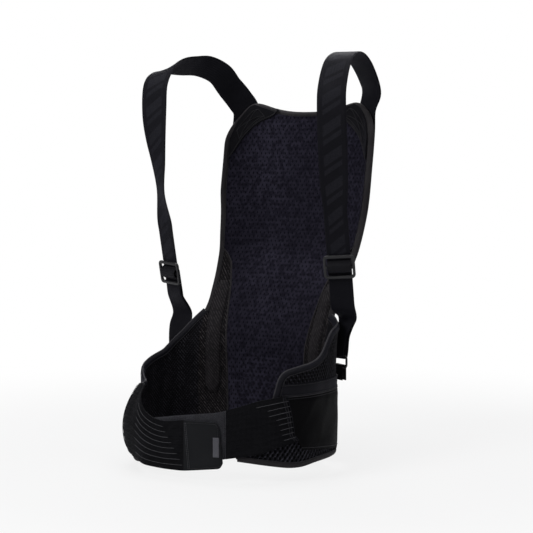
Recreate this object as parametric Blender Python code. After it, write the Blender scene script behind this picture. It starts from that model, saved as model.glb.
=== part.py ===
"""Soft back protector with a waist belt and two adjustable shoulder straps, laid out as on a wearer."""

import math

import bmesh
import bpy
import numpy as np
from mathutils import Matrix, Vector

# Metres. x is across the wearer, +y is behind the wearer, +z is up.
# The origin is on the lumbar face that rests on the wearer's back.
WAIST_HALF_WIDTH = 0.140
WAIST_HALF_DEPTH = 0.1025
CHEST_HALF_WIDTH = 0.190
SQUARENESS = 2.6
FLAT_DEPTH = 0.0008

# How far the back stands behind the lumbar face at each height.
LEAN_HEIGHT = (-1.0, 0.008, 0.028, 0.05, 0.08, 0.137, 0.20, 0.27, 0.333, 0.42)
LEAN_BACK = (0.0, 0.0, 0.005, 0.0145, 0.030, 0.061, 0.080, 0.094, 0.104, 0.110)

PANEL_BOTTOM = -0.128
PANEL_PEAK = 0.346
PANEL_HEIGHT = (-0.13, 0.06, 0.11, 0.16, 0.22, 0.30, 0.321, 0.334, 0.346)
PANEL_HALF = (0.102, 0.102, 0.108, 0.115, 0.121, 0.121, 0.114, 0.104, 0.094)
TOP_SHARE = (0.0, 0.25, 0.55, 0.75, 0.92, 1.0)
TOP_DIP = (0.015, 0.0145, 0.0105, 0.0045, 0.0, 0.003)
# The panel's left half is a little narrower than the right, as the object hangs turned.
TRIM_HEIGHT = (0.046, 0.066, 0.10, 0.15)
LEFT_TRIM = (0.0, 0.0060, 0.0085, 0.0090)

LINER_HEIGHT = (-0.13, -0.03, 0.01, 0.047, 0.09, 0.121, 0.134, 0.150)
LINER_HALF = (0.060, 0.061, 0.063, 0.068, 0.075, 0.084, 0.094, 0.114)

LINER_THICK = 0.0028
CORE_THICK = 0.014
COVER_THICK = 0.0026
LAYER_GAP = 0.0004
BINDING_RADIUS = 0.0030

WING_START = 0.1040
WING_END = 0.330
WING_THICK = 0.0024
WING_BINDING_RADIUS = 0.0024
WING_COLUMNS = 32
WING_SHARE = (0.0, 0.58, 0.86, 1.0)
WING_AT = (WING_START, 0.264, 0.292, WING_END)
LEFT_WING_ALONG = (0.10, 0.110, 0.126, 0.152, 0.178, 0.200, 0.214, 0.250, 0.270, 0.280, 0.290, 0.330)
LEFT_WING_TOP = (0.057, 0.045, 0.024, -0.001, -0.010, -0.021, -0.033, -0.037, -0.038, -0.045, -0.068, -0.119)
RIGHT_WING_ALONG = (0.10, 0.126, 0.150, 0.170, 0.178, 0.188, 0.198, 0.210, 0.226, 0.250, 0.268, 0.275, 0.279, 0.290, 0.330)
RIGHT_WING_TOP = (
    0.056, 0.0485, 0.0460, 0.0430, 0.038, 0.027, 0.016, 0.009, 0.0045, 0.001, -0.003, -0.010, -0.030, -0.062, -0.107
)
WING_BOTTOM_ALONG = (0.10, 0.17, 0.224, 0.244, 0.262, 0.288, 0.309, 0.330)
RIGHT_WING_BOTTOM = (-0.117, -0.119, -0.120, -0.123, -0.123, -0.119, -0.116, -0.1135)
LEFT_WING_BOTTOM = (-0.126, -0.130, -0.133, -0.134, -0.135, -0.133, -0.130, -0.127)
BAND_START = 0.128
BAND_END = 0.2725
PATCH_BOTTOM = {"right": (-0.115, -0.103), "left": (-0.122, -0.118)}

# The belt's left side bulges at mid height, so its edges lean in.
BULGE_HEIGHT = -0.092
BULGE_REACH = 0.045
BULGE_LEAN = 0.012
BULGE_SHIFT = 0.004
BULGE_MOST = 0.025

SEAM_HEIGHT = (-0.102, -0.084, -0.056, -0.034)
SEAM_ALONG = (0.247, 0.260, 0.264, 0.269)
BAND_TOP = -0.017
BAND_BOTTOM = -0.033
BELT_INNER = 0.0054
BELT_THICK = 0.0022
OVERLAP_INNER = 0.0096
LOOP_START = 0.3385
LOOP_END = 0.460
TAB_SEAM = 0.4025
TAB_END = 0.4668
BELT_HINGE = (-0.2475, -0.090, 0.0077)
TAB_HINGE = (-0.4022, -0.100, 0.0124)
RIGHT_BELT_ALONG = (0.24, 0.274, 0.301, 0.325, 0.352, 0.410, 0.462)
RIGHT_BELT_TOP = (-0.028, -0.032, -0.037, -0.045, -0.054, -0.060, -0.066)
RIGHT_BELT_BOTTOM = (-0.088, -0.096, -0.1065, -0.1105, -0.1155, -0.123, -0.127)
LEFT_BELT_ALONG = (0.24, 0.280, 0.305, 0.316, 0.324, 0.337, 0.352, 0.370, 0.400, 0.470)
LEFT_BELT_TOP = (-0.036, -0.031, -0.029, -0.036, -0.046, -0.058, -0.067, -0.071, -0.067, -0.066)
LEFT_BELT_BOTTOM = (-0.121, -0.125, -0.128, -0.129, -0.130, -0.131, -0.132, -0.133, -0.133, -0.124)

STRAP_WIDTH = 0.039
STRAP_THICK = 0.0018
TURN_RADIUS = 0.0036
RETURN_GAP = 0.0024
SLIDER_WIDTH = 0.0425
SLIDER_HEIGHT = 0.033
SLIDER_DEPTH = 0.0042
SLIDER_BAR = 0.0045
RING_WIDTH = 0.033
RING_HEIGHT = 0.015
RING_WIRE = 0.0015
TAB_REACH = 0.018


def clearScene():
    for obj in list(bpy.data.objects):
        bpy.data.objects.remove(obj, do_unlink=True)


def makeMaterial(name, colour, roughness, metallic=0.0):
    material = bpy.data.materials.new(name)
    material.use_nodes = True
    shader = material.node_tree.nodes["Principled BSDF"]
    shader.inputs["Base Color"].default_value = (*colour, 1.0)
    shader.inputs["Roughness"].default_value = roughness
    shader.inputs["Metallic"].default_value = metallic
    return material


def smoothStep(value, low, high):
    share = min(max((value - low) / (high - low), 0.0), 1.0)
    return share * share * (3.0 - 2.0 * share)


def sectionAt(height):
    """The loop round the wearer at one height: arc length from the spine, x, y and outward normal."""
    halfWidth = WAIST_HALF_WIDTH
    halfWidth += (CHEST_HALF_WIDTH - WAIST_HALF_WIDTH) * smoothStep(height, 0.06, 0.20)
    turn = np.linspace(0.0, math.pi, 1201)
    power = 2.0 / SQUARENESS
    x = halfWidth * np.abs(np.sin(turn)) ** power
    y = WAIST_HALF_DEPTH * np.sign(np.cos(turn)) * np.abs(np.cos(turn)) ** power
    y = np.minimum(y - WAIST_HALF_DEPTH + FLAT_DEPTH, 0.0)
    along = np.concatenate([[0.0], np.cumsum(np.hypot(np.diff(x), np.diff(y)))])
    lean = float(np.interp(height, LEAN_HEIGHT, LEAN_BACK))
    side = np.clip((along - 0.10) / 0.10, 0.0, 1.0)
    y = y + lean * (1.0 - side * side * (3.0 - 2.0 * side))
    slopeX = np.gradient(x, along)
    slopeY = np.gradient(y, along)
    size = np.hypot(slopeX, slopeY)
    return along, x, y, -slopeY / size, slopeX / size


sections = {}


def leftBulge(along, height):
    """How far the belt's left side stands inside the plain loop."""
    around = smoothStep(-along, 0.19, 0.235) * (1.0 - smoothStep(-along, 0.295, 0.345))
    inside = BULGE_SHIFT + BULGE_LEAN * ((height - BULGE_HEIGHT) / BULGE_REACH) ** 2
    return min(inside, BULGE_MOST) * around


def bodyPoint(along, height, offset=0.0):
    """A point at an arc length from the spine, with +x for a positive length, and how far it stands out."""
    offset -= leftBulge(along, height)
    key = round(height, 5)
    if key not in sections:
        sections[key] = sectionAt(height)
    length, x, y, normalX, normalY = sections[key]
    half = length[-1]
    side = 1.0 if along >= 0.0 else -1.0
    distance = abs(along)
    if distance > half:
        distance = 2.0 * half - distance
        side = -side
    pointX = float(np.interp(distance, length, x))
    pointY = float(np.interp(distance, length, y))
    outX = float(np.interp(distance, length, normalX))
    outY = float(np.interp(distance, length, normalY))
    size = math.hypot(outX, outY)
    if size < 1e-6 or distance < 0.03 and height < 0.009:
        outX = 0.0
        outY = 1.0
        size = 1.0
    pointX += outX / size * offset
    pointY += outY / size * offset
    return Vector((side * pointX, pointY, height))


def bodyNormal(along, height):
    return (bodyPoint(along, height, 0.01) - bodyPoint(along, height, 0.0)).normalized()


def finishObject(name, bm, material):
    bmesh.ops.recalc_face_normals(bm, faces=bm.faces[:])
    if bm.calc_volume(signed=True) < 0.0:
        bmesh.ops.reverse_faces(bm, faces=bm.faces[:])
    mesh = bpy.data.meshes.new(name)
    bm.to_mesh(mesh)
    bm.free()
    obj = bpy.data.objects.new(name, mesh)
    bpy.context.scene.collection.objects.link(obj)
    mesh.materials.append(material)
    return obj


def sheetSolid(name, across, upward, place, material):
    """A closed sheet: a grid extruded through its thickness, each vertex put by place(u, v, w)."""
    bm = bmesh.new()
    bmesh.ops.create_grid(bm, x_segments=across, y_segments=upward, size=0.5)
    for vertex in bm.verts:
        vertex.co.x += 0.5
        vertex.co.y += 0.5
    made = bmesh.ops.extrude_face_region(bm, geom=bm.faces[:])
    for item in made["geom"]:
        if isinstance(item, bmesh.types.BMVert):
            item.co.z = 1.0
    for vertex in bm.verts:
        vertex.co = place(vertex.co.x, vertex.co.y, vertex.co.z)
    return finishObject(name, bm, material)


def outsideOf(line, gap):
    """A line of (along, height) moved sideways by gap, to the left of its direction."""
    moved = []
    for k, (along, height) in enumerate(line):
        before = line[max(k - 1, 0)]
        after = line[min(k + 1, len(line) - 1)]
        runAlong = after[0] - before[0]
        runUp = after[1] - before[1]
        size = math.hypot(runAlong, runUp)
        moved.append((along - runUp / size * gap, height + runAlong / size * gap))
    return moved


def tube(name, points, radius, material, closed=False):
    curve = bpy.data.curves.new(name, "CURVE")
    curve.dimensions = "3D"
    curve.bevel_depth = radius
    curve.bevel_resolution = 0
    curve.use_fill_caps = not closed
    spline = curve.splines.new("POLY")
    spline.points.add(len(points) - 1)
    for point, place in zip(spline.points, points):
        point.co = (*place, 1.0)
    spline.use_cyclic_u = closed
    obj = bpy.data.objects.new(name, curve)
    bpy.context.scene.collection.objects.link(obj)
    curve.materials.append(material)
    return obj


def pivotAt(name, place):
    """An empty on a joint's axis, which carries the pieces that move."""
    pivot = bpy.data.objects.new(name, None)
    pivot.empty_display_size = 0.02
    pivot.location = place
    bpy.context.scene.collection.objects.link(pivot)
    return pivot


def hang(obj, pivot):
    """Parents obj to the pivot and leaves it where it stands."""
    obj.parent = pivot
    obj.matrix_parent_inverse = Matrix.Translation(-pivot.location)


def panelHalf(side, height):
    half = float(np.interp(height, PANEL_HEIGHT, PANEL_HALF))
    if side < 0.0:
        half -= float(np.interp(height, TRIM_HEIGHT, LEFT_TRIM))
    return half


def panelPlace(u, v):
    """Arc length and height on the back panel, for u and v from 0 to 1."""
    side = 2.0 * u - 1.0
    nominal = PANEL_BOTTOM + v * (PANEL_PEAK - PANEL_BOTTOM)
    left = panelHalf(-1.0, nominal)
    right = panelHalf(1.0, nominal)
    dip = float(np.interp(abs(side), TOP_SHARE, TOP_DIP))
    height = PANEL_BOTTOM + v * (PANEL_PEAK - dip * smoothStep(v, 0.6, 1.0) - PANEL_BOTTOM)
    return u * (left + right) - left, height


def coreRise(u, v):
    """How much of the core's thickness there is here: full inside, falling to nothing at the edges."""
    across = smoothStep(min(u, 1.0 - u), 0.06, 0.19)
    upward = smoothStep(min(v, 1.0 - v), 0.02, 0.11)
    return across * upward


def backPanel(fabric, foam, mesh):
    coreInner = LINER_THICK + 0.0007
    edge = 0.0012

    def corePlace(u, v, w):
        u = (2.0 + 12.0 * u) / 16.0
        v = (1.0 + 26.0 * v) / 28.0
        along, height = panelPlace(u, v)
        depth = coreInner + w * (edge + (CORE_THICK - edge) * coreRise(u, v))
        return bodyPoint(along, height, depth)

    def coverPlace(u, v, w):
        along, height = panelPlace(u, v)
        depth = coreInner + LAYER_GAP + edge + (CORE_THICK - edge) * coreRise(u, v)
        return bodyPoint(along, height, depth + w * COVER_THICK)

    def linerPlace(u, v, w):
        along, height = panelPlace(u, v)
        if height < LINER_HEIGHT[-1]:
            reach = float(np.interp(height, LINER_HEIGHT, LINER_HALF))
            left = min(reach, panelHalf(-1.0, height))
            right = min(reach, panelHalf(1.0, height))
            along = u * (left + right) - left
        return bodyPoint(along, height, w * LINER_THICK)

    sheetSolid("impact_core", 12, 26, corePlace, foam)
    sheetSolid("outer_cover", 16, 28, coverPlace, fabric)
    sheetSolid("inner_liner", 16, 28, linerPlace, mesh)


def panelBinding(material):
    line = []
    for k in range(12, 28):
        line.append(panelPlace(0.0, k / 28.0))
    for k in range(17):
        line.append(panelPlace(k / 16.0, 1.0))
    for k in range(27, 11, -1):
        line.append(panelPlace(1.0, k / 28.0))
    outline = outsideOf(line, BINDING_RADIUS + 0.0009)
    points = [bodyPoint(along, height, 0.0034) for along, height in outline]
    tube("panel_binding", points, BINDING_RADIUS, material)


def cornerPatch(name, side, material):
    def place(u, v, w):
        share = 0.42 + 0.52 * u
        low = 0.850 + 0.085 * (1.0 - u)
        v = low + (0.972 - low) * v
        along, height = panelPlace(0.5 + 0.5 * side * share, v)
        return bodyPoint(along, height, -0.0030 - w * 0.0012)

    sheetSolid(name, 6, 6, place, material)


def sideMesh(name, side, material):
    def place(u, v, w):
        height = PANEL_BOTTOM + v * (0.137 - PANEL_BOTTOM)
        inner = float(np.interp(height, LINER_HEIGHT, LINER_HALF)) + 0.0026
        outer = panelHalf(side, height)
        return bodyPoint(side * (inner + u * (outer - inner)), height, 0.0001 + w * 0.0024)

    sheetSolid(name, 2, 20, place, material)


def lumbarChannel(name, side, material):
    def place(u, v, w):
        height = -0.055 + v * 0.150
        centre = 0.0825 + 0.004 * smoothStep(height, 0.0, 0.09)
        half = 0.0100 * (0.55 + 0.45 * smoothStep(min(v, 1.0 - v), 0.0, 0.12))
        rise = 0.0008 + 0.0034 * smoothStep(min(u, 1.0 - u), 0.0, 0.5)
        along = side * (centre + half * (2.0 * u - 1.0))
        return bodyPoint(along, height, -0.0012 - w * rise)

    sheetSolid(name, 4, 14, place, material)


def wingTop(side, along):
    if side < 0.0:
        return float(np.interp(along, LEFT_WING_ALONG, LEFT_WING_TOP))
    return float(np.interp(along, RIGHT_WING_ALONG, RIGHT_WING_TOP))


def wingBottom(side, along):
    heights = LEFT_WING_BOTTOM if side < 0.0 else RIGHT_WING_BOTTOM
    return float(np.interp(along, WING_BOTTOM_ALONG, heights))


def wing(prefix, side, mesh, fabric, trim):
    inner = WING_THICK + LAYER_GAP

    def place(depth, thick):
        def at(u, v, w):
            along = float(np.interp(u, WING_SHARE, WING_AT))
            low = wingBottom(side, along)
            height = low + v * (wingTop(side, along) - low)
            return bodyPoint(side * along, height, depth + w * thick)

        return at

    sheetSolid(prefix + "_wing_mesh", WING_COLUMNS, 8, place(0.0, WING_THICK), mesh)
    sheetSolid(prefix + "_wing_shell", WING_COLUMNS, 8, place(inner, WING_THICK - 0.0002), fabric)
    gap = WING_BINDING_RADIUS + 0.0008
    shares = [k / WING_COLUMNS for k in range(1, WING_COLUMNS)]
    columns = [float(np.interp(share, WING_SHARE, WING_AT)) for share in shares]
    top = [(along, wingTop(side, along)) for along in columns]
    points = [bodyPoint(side * along, height, inner) for along, height in outsideOf(top, gap)]
    tube(prefix + "_wing_binding", points, WING_BINDING_RADIUS, trim)
    low = [(along, wingBottom(side, along)) for along in columns]
    hem = outsideOf(low, -gap)
    points = [bodyPoint(side * along, height, inner) for along, height in hem]
    tube(prefix + "_hem_binding", points, WING_BINDING_RADIUS, trim)


def seamAlong(side, height):
    """Where the belt is sewn to the wing at a height: the seam slants back as it goes down."""
    drop = 0.0 if side > 0.0 else -0.025
    return float(np.interp(height - drop, SEAM_HEIGHT, SEAM_ALONG))


def wingTrim(prefix, side, fabric, trim):
    drop = 0.0 if side > 0.0 else -0.025
    back, front = PATCH_BOTTOM[prefix]

    def bandPlace(u, v, w):
        along = BAND_START + u * (BAND_END - BAND_START)
        height = BAND_BOTTOM + drop + v * (BAND_TOP - BAND_BOTTOM)
        return bodyPoint(side * along, height, BELT_INNER + w * 0.0010)

    def panelPlaceOut(u, v, w):
        low = back + u * (front - back)
        high = BAND_BOTTOM + drop - 0.0008
        height = low + v * (high - low)
        end = seamAlong(side, height) - 0.0036
        along = BAND_START + u * (end - BAND_START)
        return bodyPoint(side * along, height, BELT_INNER + w * 0.0012)

    sheetSolid(prefix + "_wing_band", 24, 4, bandPlace, trim)
    sheetSolid(prefix + "_wing_panel", 22, 6, panelPlaceOut, fabric)


def rightBelt(elastic, loop):
    def elasticPlace(u, v, w):
        start = seamAlong(1.0, -0.093 + v * 0.062)
        along = start + u * (LOOP_START - start)
        low = float(np.interp(along, RIGHT_BELT_ALONG, RIGHT_BELT_BOTTOM))
        high = float(np.interp(along, RIGHT_BELT_ALONG, RIGHT_BELT_TOP))
        return bodyPoint(along, low + v * (high - low), BELT_INNER + 0.0012 + w * BELT_THICK)

    def loopPlace(u, v, w):
        along = LOOP_START + 0.0006 + u * (LOOP_END - LOOP_START)
        low = float(np.interp(along, RIGHT_BELT_ALONG, RIGHT_BELT_BOTTOM))
        high = float(np.interp(along, RIGHT_BELT_ALONG, RIGHT_BELT_TOP))
        return bodyPoint(along, low + v * (high - low), BELT_INNER + 0.0012 + w * BELT_THICK)

    sheetSolid("right_belt_elastic", 14, 3, elasticPlace, elastic)
    sheetSolid("loop_panel", 20, 2, loopPlace, loop)


def leftBeltEdges(along):
    low = float(np.interp(along, LEFT_BELT_ALONG, LEFT_BELT_BOTTOM))
    high = float(np.interp(along, LEFT_BELT_ALONG, LEFT_BELT_TOP))
    return low, high


def leftBelt(elastic, fabric, hook, pull):
    def elasticPlace(u, v, w):
        start = seamAlong(-1.0, -0.121 + v * 0.075)
        along = start + u * (TAB_SEAM - 0.001 - start)
        low, high = leftBeltEdges(along)
        near = BELT_INNER + 0.0014
        inner = near + (OVERLAP_INNER - near) * smoothStep(along, 0.295, 0.345)
        return bodyPoint(-along, low + v * (high - low), inner + w * BELT_THICK)

    def tabPlace(inner, thick, start, end, trim):
        def at(u, v, w):
            along = start + u * (end - start)
            low, high = leftBeltEdges(along)
            round = 0.006 * (1.0 - math.sqrt(max(0.0, 1.0 - smoothStep(u, 0.82, 1.0) ** 2)))
            low += trim + round
            high -= trim + round
            return bodyPoint(-along, low + v * (high - low), inner + w * thick)

        return at

    beltPivot = pivotAt("belt_hinge", bodyPoint(*BELT_HINGE))
    tabPivot = pivotAt("tab_hinge", bodyPoint(*TAB_HINGE))
    hang(tabPivot, beltPivot)
    hang(sheetSolid("left_belt_elastic", 28, 8, elasticPlace, elastic), beltPivot)
    tab = tabPlace(OVERLAP_INNER + 0.0014, 0.0022, TAB_SEAM + 0.0004, TAB_END, 0.0)
    hang(sheetSolid("closure_tab", 12, 3, tab, fabric), tabPivot)
    patch = tabPlace(OVERLAP_INNER, 0.0010, TAB_SEAM + 0.005, TAB_END - 0.004, 0.004)
    hang(sheetSolid("hook_patch", 10, 2, patch, hook), tabPivot)

    def pullPlace(u, v, w):
        along = TAB_END - 0.0095 + u * 0.008
        low, high = leftBeltEdges(along)
        height = high - 0.045 + v * 0.025
        return bodyPoint(-along, height, OVERLAP_INNER + 0.0040 + w * 0.0009)

    hang(sheetSolid("pull_patch", 3, 2, pullPlace, pull), tabPivot)


def smoothPath(knots, steps):
    """Catmull-Rom through rows of numbers."""
    rows = np.array(knots, float)
    rows = np.vstack([2.0 * rows[0] - rows[1], rows, 2.0 * rows[-1] - rows[-2]])
    made = []
    for k in range(1, len(rows) - 2):
        a, b, c, d = rows[k - 1 : k + 3]
        for j in range(steps):
            t = j / steps
            made.append(
                0.5
                * (
                    2.0 * b
                    + (c - a) * t
                    + (2.0 * a - 5.0 * b + 4.0 * c - d) * t * t
                    + (3.0 * b - 3.0 * c + d - a) * t**3
                )
            )
    made.append(rows[-2])
    return np.array(made)


def strapKnots(side):
    """Rows of x, y, z, facing in degrees, width share and roll in degrees, from behind the panel to the ring."""
    if side > 0.0:
        over = [
            (0.108, 0.105, 0.366, -24.0, 1.0, 0.0),
            (0.113, 0.065, 0.400, -16.0, 1.0, 0.0),
            (0.118, 0.020, 0.414, -4.0, 1.0, 0.0),
            (0.127, -0.028, 0.402, 8.0, 1.0, 0.0),
            (0.131, -0.053, 0.368, 16.0, 1.0, 0.0),
            (0.134, -0.061, 0.335, 22.0, 1.0, 0.0),
            (0.136, -0.061, 0.282, 26.0, 1.0, 0.0),
            (0.135, -0.055, 0.235, 27.0, 0.95, 0.0),
        ]
        top = (0.1342, -0.0505, 0.204)
        low = (0.1285, -0.0165, 0.070)
        facing = 22.0
        below = [
            (0.118, 0.052, 0.0182, 0.77, -16.0),
            (0.117, 0.030, 0.0155, 0.74, -30.0),
            (0.116, 0.005, 0.0150, 0.68, -33.0),
        ]
    else:
        over = [
            (-0.107, 0.108, 0.353, 26.0, 1.0, 0.0),
            (-0.119, 0.097, 0.373, 26.0, 1.0, 8.0),
            (-0.1235, 0.078, 0.3905, 20.0, 1.0, 28.0),
            (-0.132, 0.050, 0.4005, 14.0, 1.0, 40.0),
            (-0.140, 0.022, 0.4005, 12.0, 1.0, 40.0),
            (-0.147, -0.005, 0.3985, 10.0, 1.0, 32.0),
            (-0.1525, -0.027, 0.391, 8.0, 1.0, 15.0),
            (-0.154, -0.044, 0.372, 4.0, 1.0, 2.0),
            (-0.149, -0.055, 0.336, 2.0, 1.0, 0.0),
            (-0.143, -0.061, 0.300, -10.0, 0.98, 0.0),
            (-0.1392, -0.060, 0.263, -26.0, 0.94, 0.0),
            (-0.1387, -0.055, 0.222, -40.0, 0.88, 0.0),
        ]
        top = (-0.1395, -0.0450, 0.183)
        low = (-0.13744, -0.02154, 0.076)
        facing = -20.0
        below = [
            (0.127, 0.052, 0.0190, 0.81, -4.0),
            (0.127, 0.034, 0.0185, 0.80, 14.0),
            (0.127, 0.016, 0.0165, 0.76, 28.0),
            (0.127, -0.004, 0.0150, 0.72, 36.0),
        ]
    sewn = [(0.250, 0.0172), (0.280, 0.0172), (0.308, 0.0168), (0.336, 0.0150)]
    rows = []
    for height, offset in sewn:
        place = bodyPoint(side * 0.096, height, offset)
        rows.append((*place, -26.0 * side, 1.0, 0.0))
    rows += over
    for k in range(8):
        share = k / 7.0
        place = [top[i] + share * (low[i] - top[i]) for i in range(3)]
        rows.append((*place, facing, 0.82, 0.0))
    for along, height, offset, width, angle in below:
        rows.append((*bodyPoint(side * along, height, offset), angle, width, 0.0))
    return rows, Vector(top), Vector(low), facing


def framesAlong(rows, side):
    """Centre, width direction, outward normal and width share at each row of a strap path."""
    frames = []
    for k, row in enumerate(rows):
        before = Vector(rows[max(k - 1, 0)][:3])
        after = Vector(rows[min(k + 1, len(rows) - 1)][:3])
        run = (after - before).normalized()
        angle = math.radians(row[3])
        roll = math.radians(row[5])
        across = Vector((math.cos(angle) * math.cos(roll), math.sin(angle) * math.cos(roll), math.sin(roll)))
        across = (across - run * across.dot(run)).normalized()
        outward = across.cross(run).normalized()
        frames.append((Vector(row[:3]), across, -outward, float(row[4])))
    return frames


def ribbon(name, frames, width, thick, material):
    count = len(frames) - 1

    def place(u, v, w):
        centre, across, outward, share = frames[int(round(u * count))]
        shift = across * ((v - 0.5) * width * share)
        return centre + shift + outward * ((w - 0.5) * thick)

    return sheetSolid(name, count, 2, place, material)


def strap(prefix, side, webbing, plastic, fabric):
    knots, top, low, facing = strapKnots(side)
    frames = framesAlong(smoothPath(knots, 4), side)
    end = frames[-1]
    run = (end[0] - frames[-2][0]).normalized()
    inward = -end[2]
    centre = end[0] + inward * TURN_RADIUS
    turned = []
    for k in range(1, 6):
        angle = math.pi * k / 6.0
        shift = inward * (-math.cos(angle) * TURN_RADIUS) + run * (math.sin(angle) * TURN_RADIUS)
        tilt = (-inward * math.cos(angle) + run * math.sin(angle)).normalized()
        turned.append((centre + shift, end[1], tilt, end[3]))
    back = []
    rise = 0.0
    for k in range(len(frames) - 1, 0, -1):
        point, across, outward, share = frames[k]
        rise = point.z - end[0].z
        if rise > 0.042:
            break
        depth = 2.0 * TURN_RADIUS + (RETURN_GAP - 2.0 * TURN_RADIUS) * smoothStep(rise, 0.0, 0.05)
        back.append((point - outward * depth, across, -outward, share))
    ribbon(prefix + "_shoulder_strap", frames + turned + back, STRAP_WIDTH, STRAP_THICK, webbing)
    slider(prefix, side, top, low, facing, webbing, plastic)
    anchor(prefix, centre, Vector((0.0, 0.0, -1.0)), end[1], end[2], plastic, fabric)


def orientation(centre, across, upward, outward):
    columns = Matrix((across, upward, outward)).transposed()
    return Matrix.Translation(centre) @ columns.to_4x4()


def box(name, size, matrix, material=None):
    bm = bmesh.new()
    bmesh.ops.create_cube(bm, size=1.0)
    bmesh.ops.scale(bm, vec=size, verts=bm.verts[:])
    bmesh.ops.transform(bm, matrix=matrix, verts=bm.verts[:])
    return finishObject(name, bm, material)


def slider(prefix, side, top, low, facing, webbing, plastic):
    """The tri-glide frame on the straight stretch, with the webbing's turn over its middle bar."""
    run = (low - top).normalized()
    angle = math.radians(facing)
    across = Vector((math.cos(angle), math.sin(angle), 0.0))
    across = (across - run * across.dot(run)).normalized()
    outward = -across.cross(run).normalized()
    share = 0.575 if side > 0.0 else 0.69
    middle = top + (low - top) * share
    lift = STRAP_THICK / 2.0 + 0.0004 + SLIDER_DEPTH / 2.0
    centre = middle + outward * lift
    pose = orientation(centre, across, -run, outward)
    bm = bmesh.new()
    bmesh.ops.create_cube(bm, size=1.0)
    bmesh.ops.scale(bm, vec=(SLIDER_WIDTH, SLIDER_HEIGHT, SLIDER_DEPTH), verts=bm.verts[:])
    upright = [e for e in bm.edges if abs(e.verts[0].co.z - e.verts[1].co.z) > 0.001]
    bmesh.ops.bevel(bm, geom=upright, offset=0.005, segments=3, affect="EDGES", profile=0.5)
    frame = finishObject(prefix + "_slider_frame", bm, plastic)
    window = (SLIDER_HEIGHT - 2.0 * SLIDER_BAR - 0.0036) / 2.0
    for k in (-1.0, 1.0):
        shift = k * (0.0018 + window / 2.0)
        place = Matrix.Translation((0.0, shift, 0.0))
        size = (SLIDER_WIDTH - 0.0072, window, SLIDER_DEPTH * 3.0)
        cutter = box(prefix + "_slider_window" + ("_low" if k < 0.0 else "_high"), size, place, plastic)
        cutter.hide_render = True
        cutter.display_type = "WIRE"
        cutter.matrix_world = pose
        modifier = frame.modifiers.new("window", "BOOLEAN")
        modifier.operation = "DIFFERENCE"
        modifier.solver = "EXACT"
        modifier.object = cutter
    frame.matrix_world = pose

    def archPlace(u, v, w):
        reach = 0.0082 * (2.0 * u - 1.0)
        rise = 0.0006 + (SLIDER_DEPTH + 0.0014) * smoothStep(1.0 - abs(2.0 * u - 1.0), 0.0, 0.72)
        lean = 1.0 - smoothStep(1.0 - abs(2.0 * u - 1.0), 0.0, 0.9)
        start = STRAP_THICK / 2.0 + rise + w * 0.0014
        start += 0.0004 * lean
        step = across * ((v - 0.5) * 0.0320) - run * reach
        return middle + step + outward * start

    turn = sheetSolid(prefix + "_slider_webbing", 12, 2, archPlace, webbing)
    turn.parent = frame
    turn.matrix_parent_inverse = pose.inverted()


def anchor(prefix, centre, run, across, outward, plastic, fabric):
    """The wire ring the strap turns round, and the sewn tab that holds the ring on the wing."""
    points = []
    half = RING_WIDTH / 2.0
    across = (across - run * across.dot(run)).normalized()
    outward = (outward - run * outward.dot(run)).normalized()
    for k in range(4):
        signX = (1.0, -1.0, -1.0, 1.0)[k]
        signY = (0.0, 0.0, 1.0, 1.0)[k]
        corner = 0.004
        for j in range(4):
            turn = math.pi / 2.0 * (k + j / 3.0)
            cornerX = signX * (half - corner)
            cornerY = signY * RING_HEIGHT + (corner if signY < 0.5 else -corner)
            x = cornerX + corner * math.cos(turn)
            y = cornerY - corner * math.sin(turn)
            points.append(centre + across * x + run * y)
    tube(prefix + "_anchor_ring", points, RING_WIRE, plastic, closed=True)
    hold = centre + run * RING_HEIGHT
    wrap = RING_WIRE + 0.0006 + 0.0007
    frames = []
    for k in range(6):
        step = TAB_REACH * (1.0 - k / 5.0)
        frames.append((hold + run * step + outward * wrap, across, outward, 1.0))
    for k in range(1, 6):
        angle = math.pi * k / 6.0
        tilt = outward * math.cos(angle) - run * math.sin(angle)
        frames.append((hold + tilt * wrap, across, tilt, 1.0))
    for k in range(6):
        step = TAB_REACH * k / 5.0
        frames.append((hold + run * step - outward * wrap, across, -outward, 1.0))
    ribbon(prefix + "_anchor_tab", frames, 0.022, 0.0012, fabric)


def main():
    clearScene()
    liner = makeMaterial("liner_mesh", (0.030, 0.028, 0.045), 0.9)
    foam = makeMaterial("core_foam", (0.05, 0.05, 0.05), 0.8)
    cover = makeMaterial("cover_fabric", (0.014, 0.014, 0.018), 0.8)
    airMesh = makeMaterial("air_mesh", (0.018, 0.017, 0.019), 0.85)
    trim = makeMaterial("binding_tape", (0.035, 0.030, 0.032), 0.7)
    elastic = makeMaterial("ribbed_elastic", (0.010, 0.011, 0.014), 0.85)
    loop = makeMaterial("loop_pile", (0.045, 0.045, 0.052), 0.95)
    webbing = makeMaterial("strap_webbing", (0.009, 0.009, 0.013), 0.7)
    plastic = makeMaterial("acetal_black", (0.012, 0.012, 0.014), 0.35)
    pull = makeMaterial("grey_patch", (0.16, 0.16, 0.17), 0.6)
    backPanel(cover, foam, liner)
    panelBinding(trim)
    for prefix, side in (("left", -1.0), ("right", 1.0)):
        cornerPatch(prefix + "_corner_patch", side, cover)
        sideMesh(prefix + "_side_mesh", side, airMesh)
        lumbarChannel(prefix + "_lumbar_channel", side, cover)
        wing(prefix, side, airMesh, airMesh, trim)
        wingTrim(prefix, side, cover, trim)
        strap(prefix, side, webbing, plastic, cover)
    rightBelt(elastic, loop)
    leftBelt(elastic, cover, loop, pull)


main()
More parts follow.
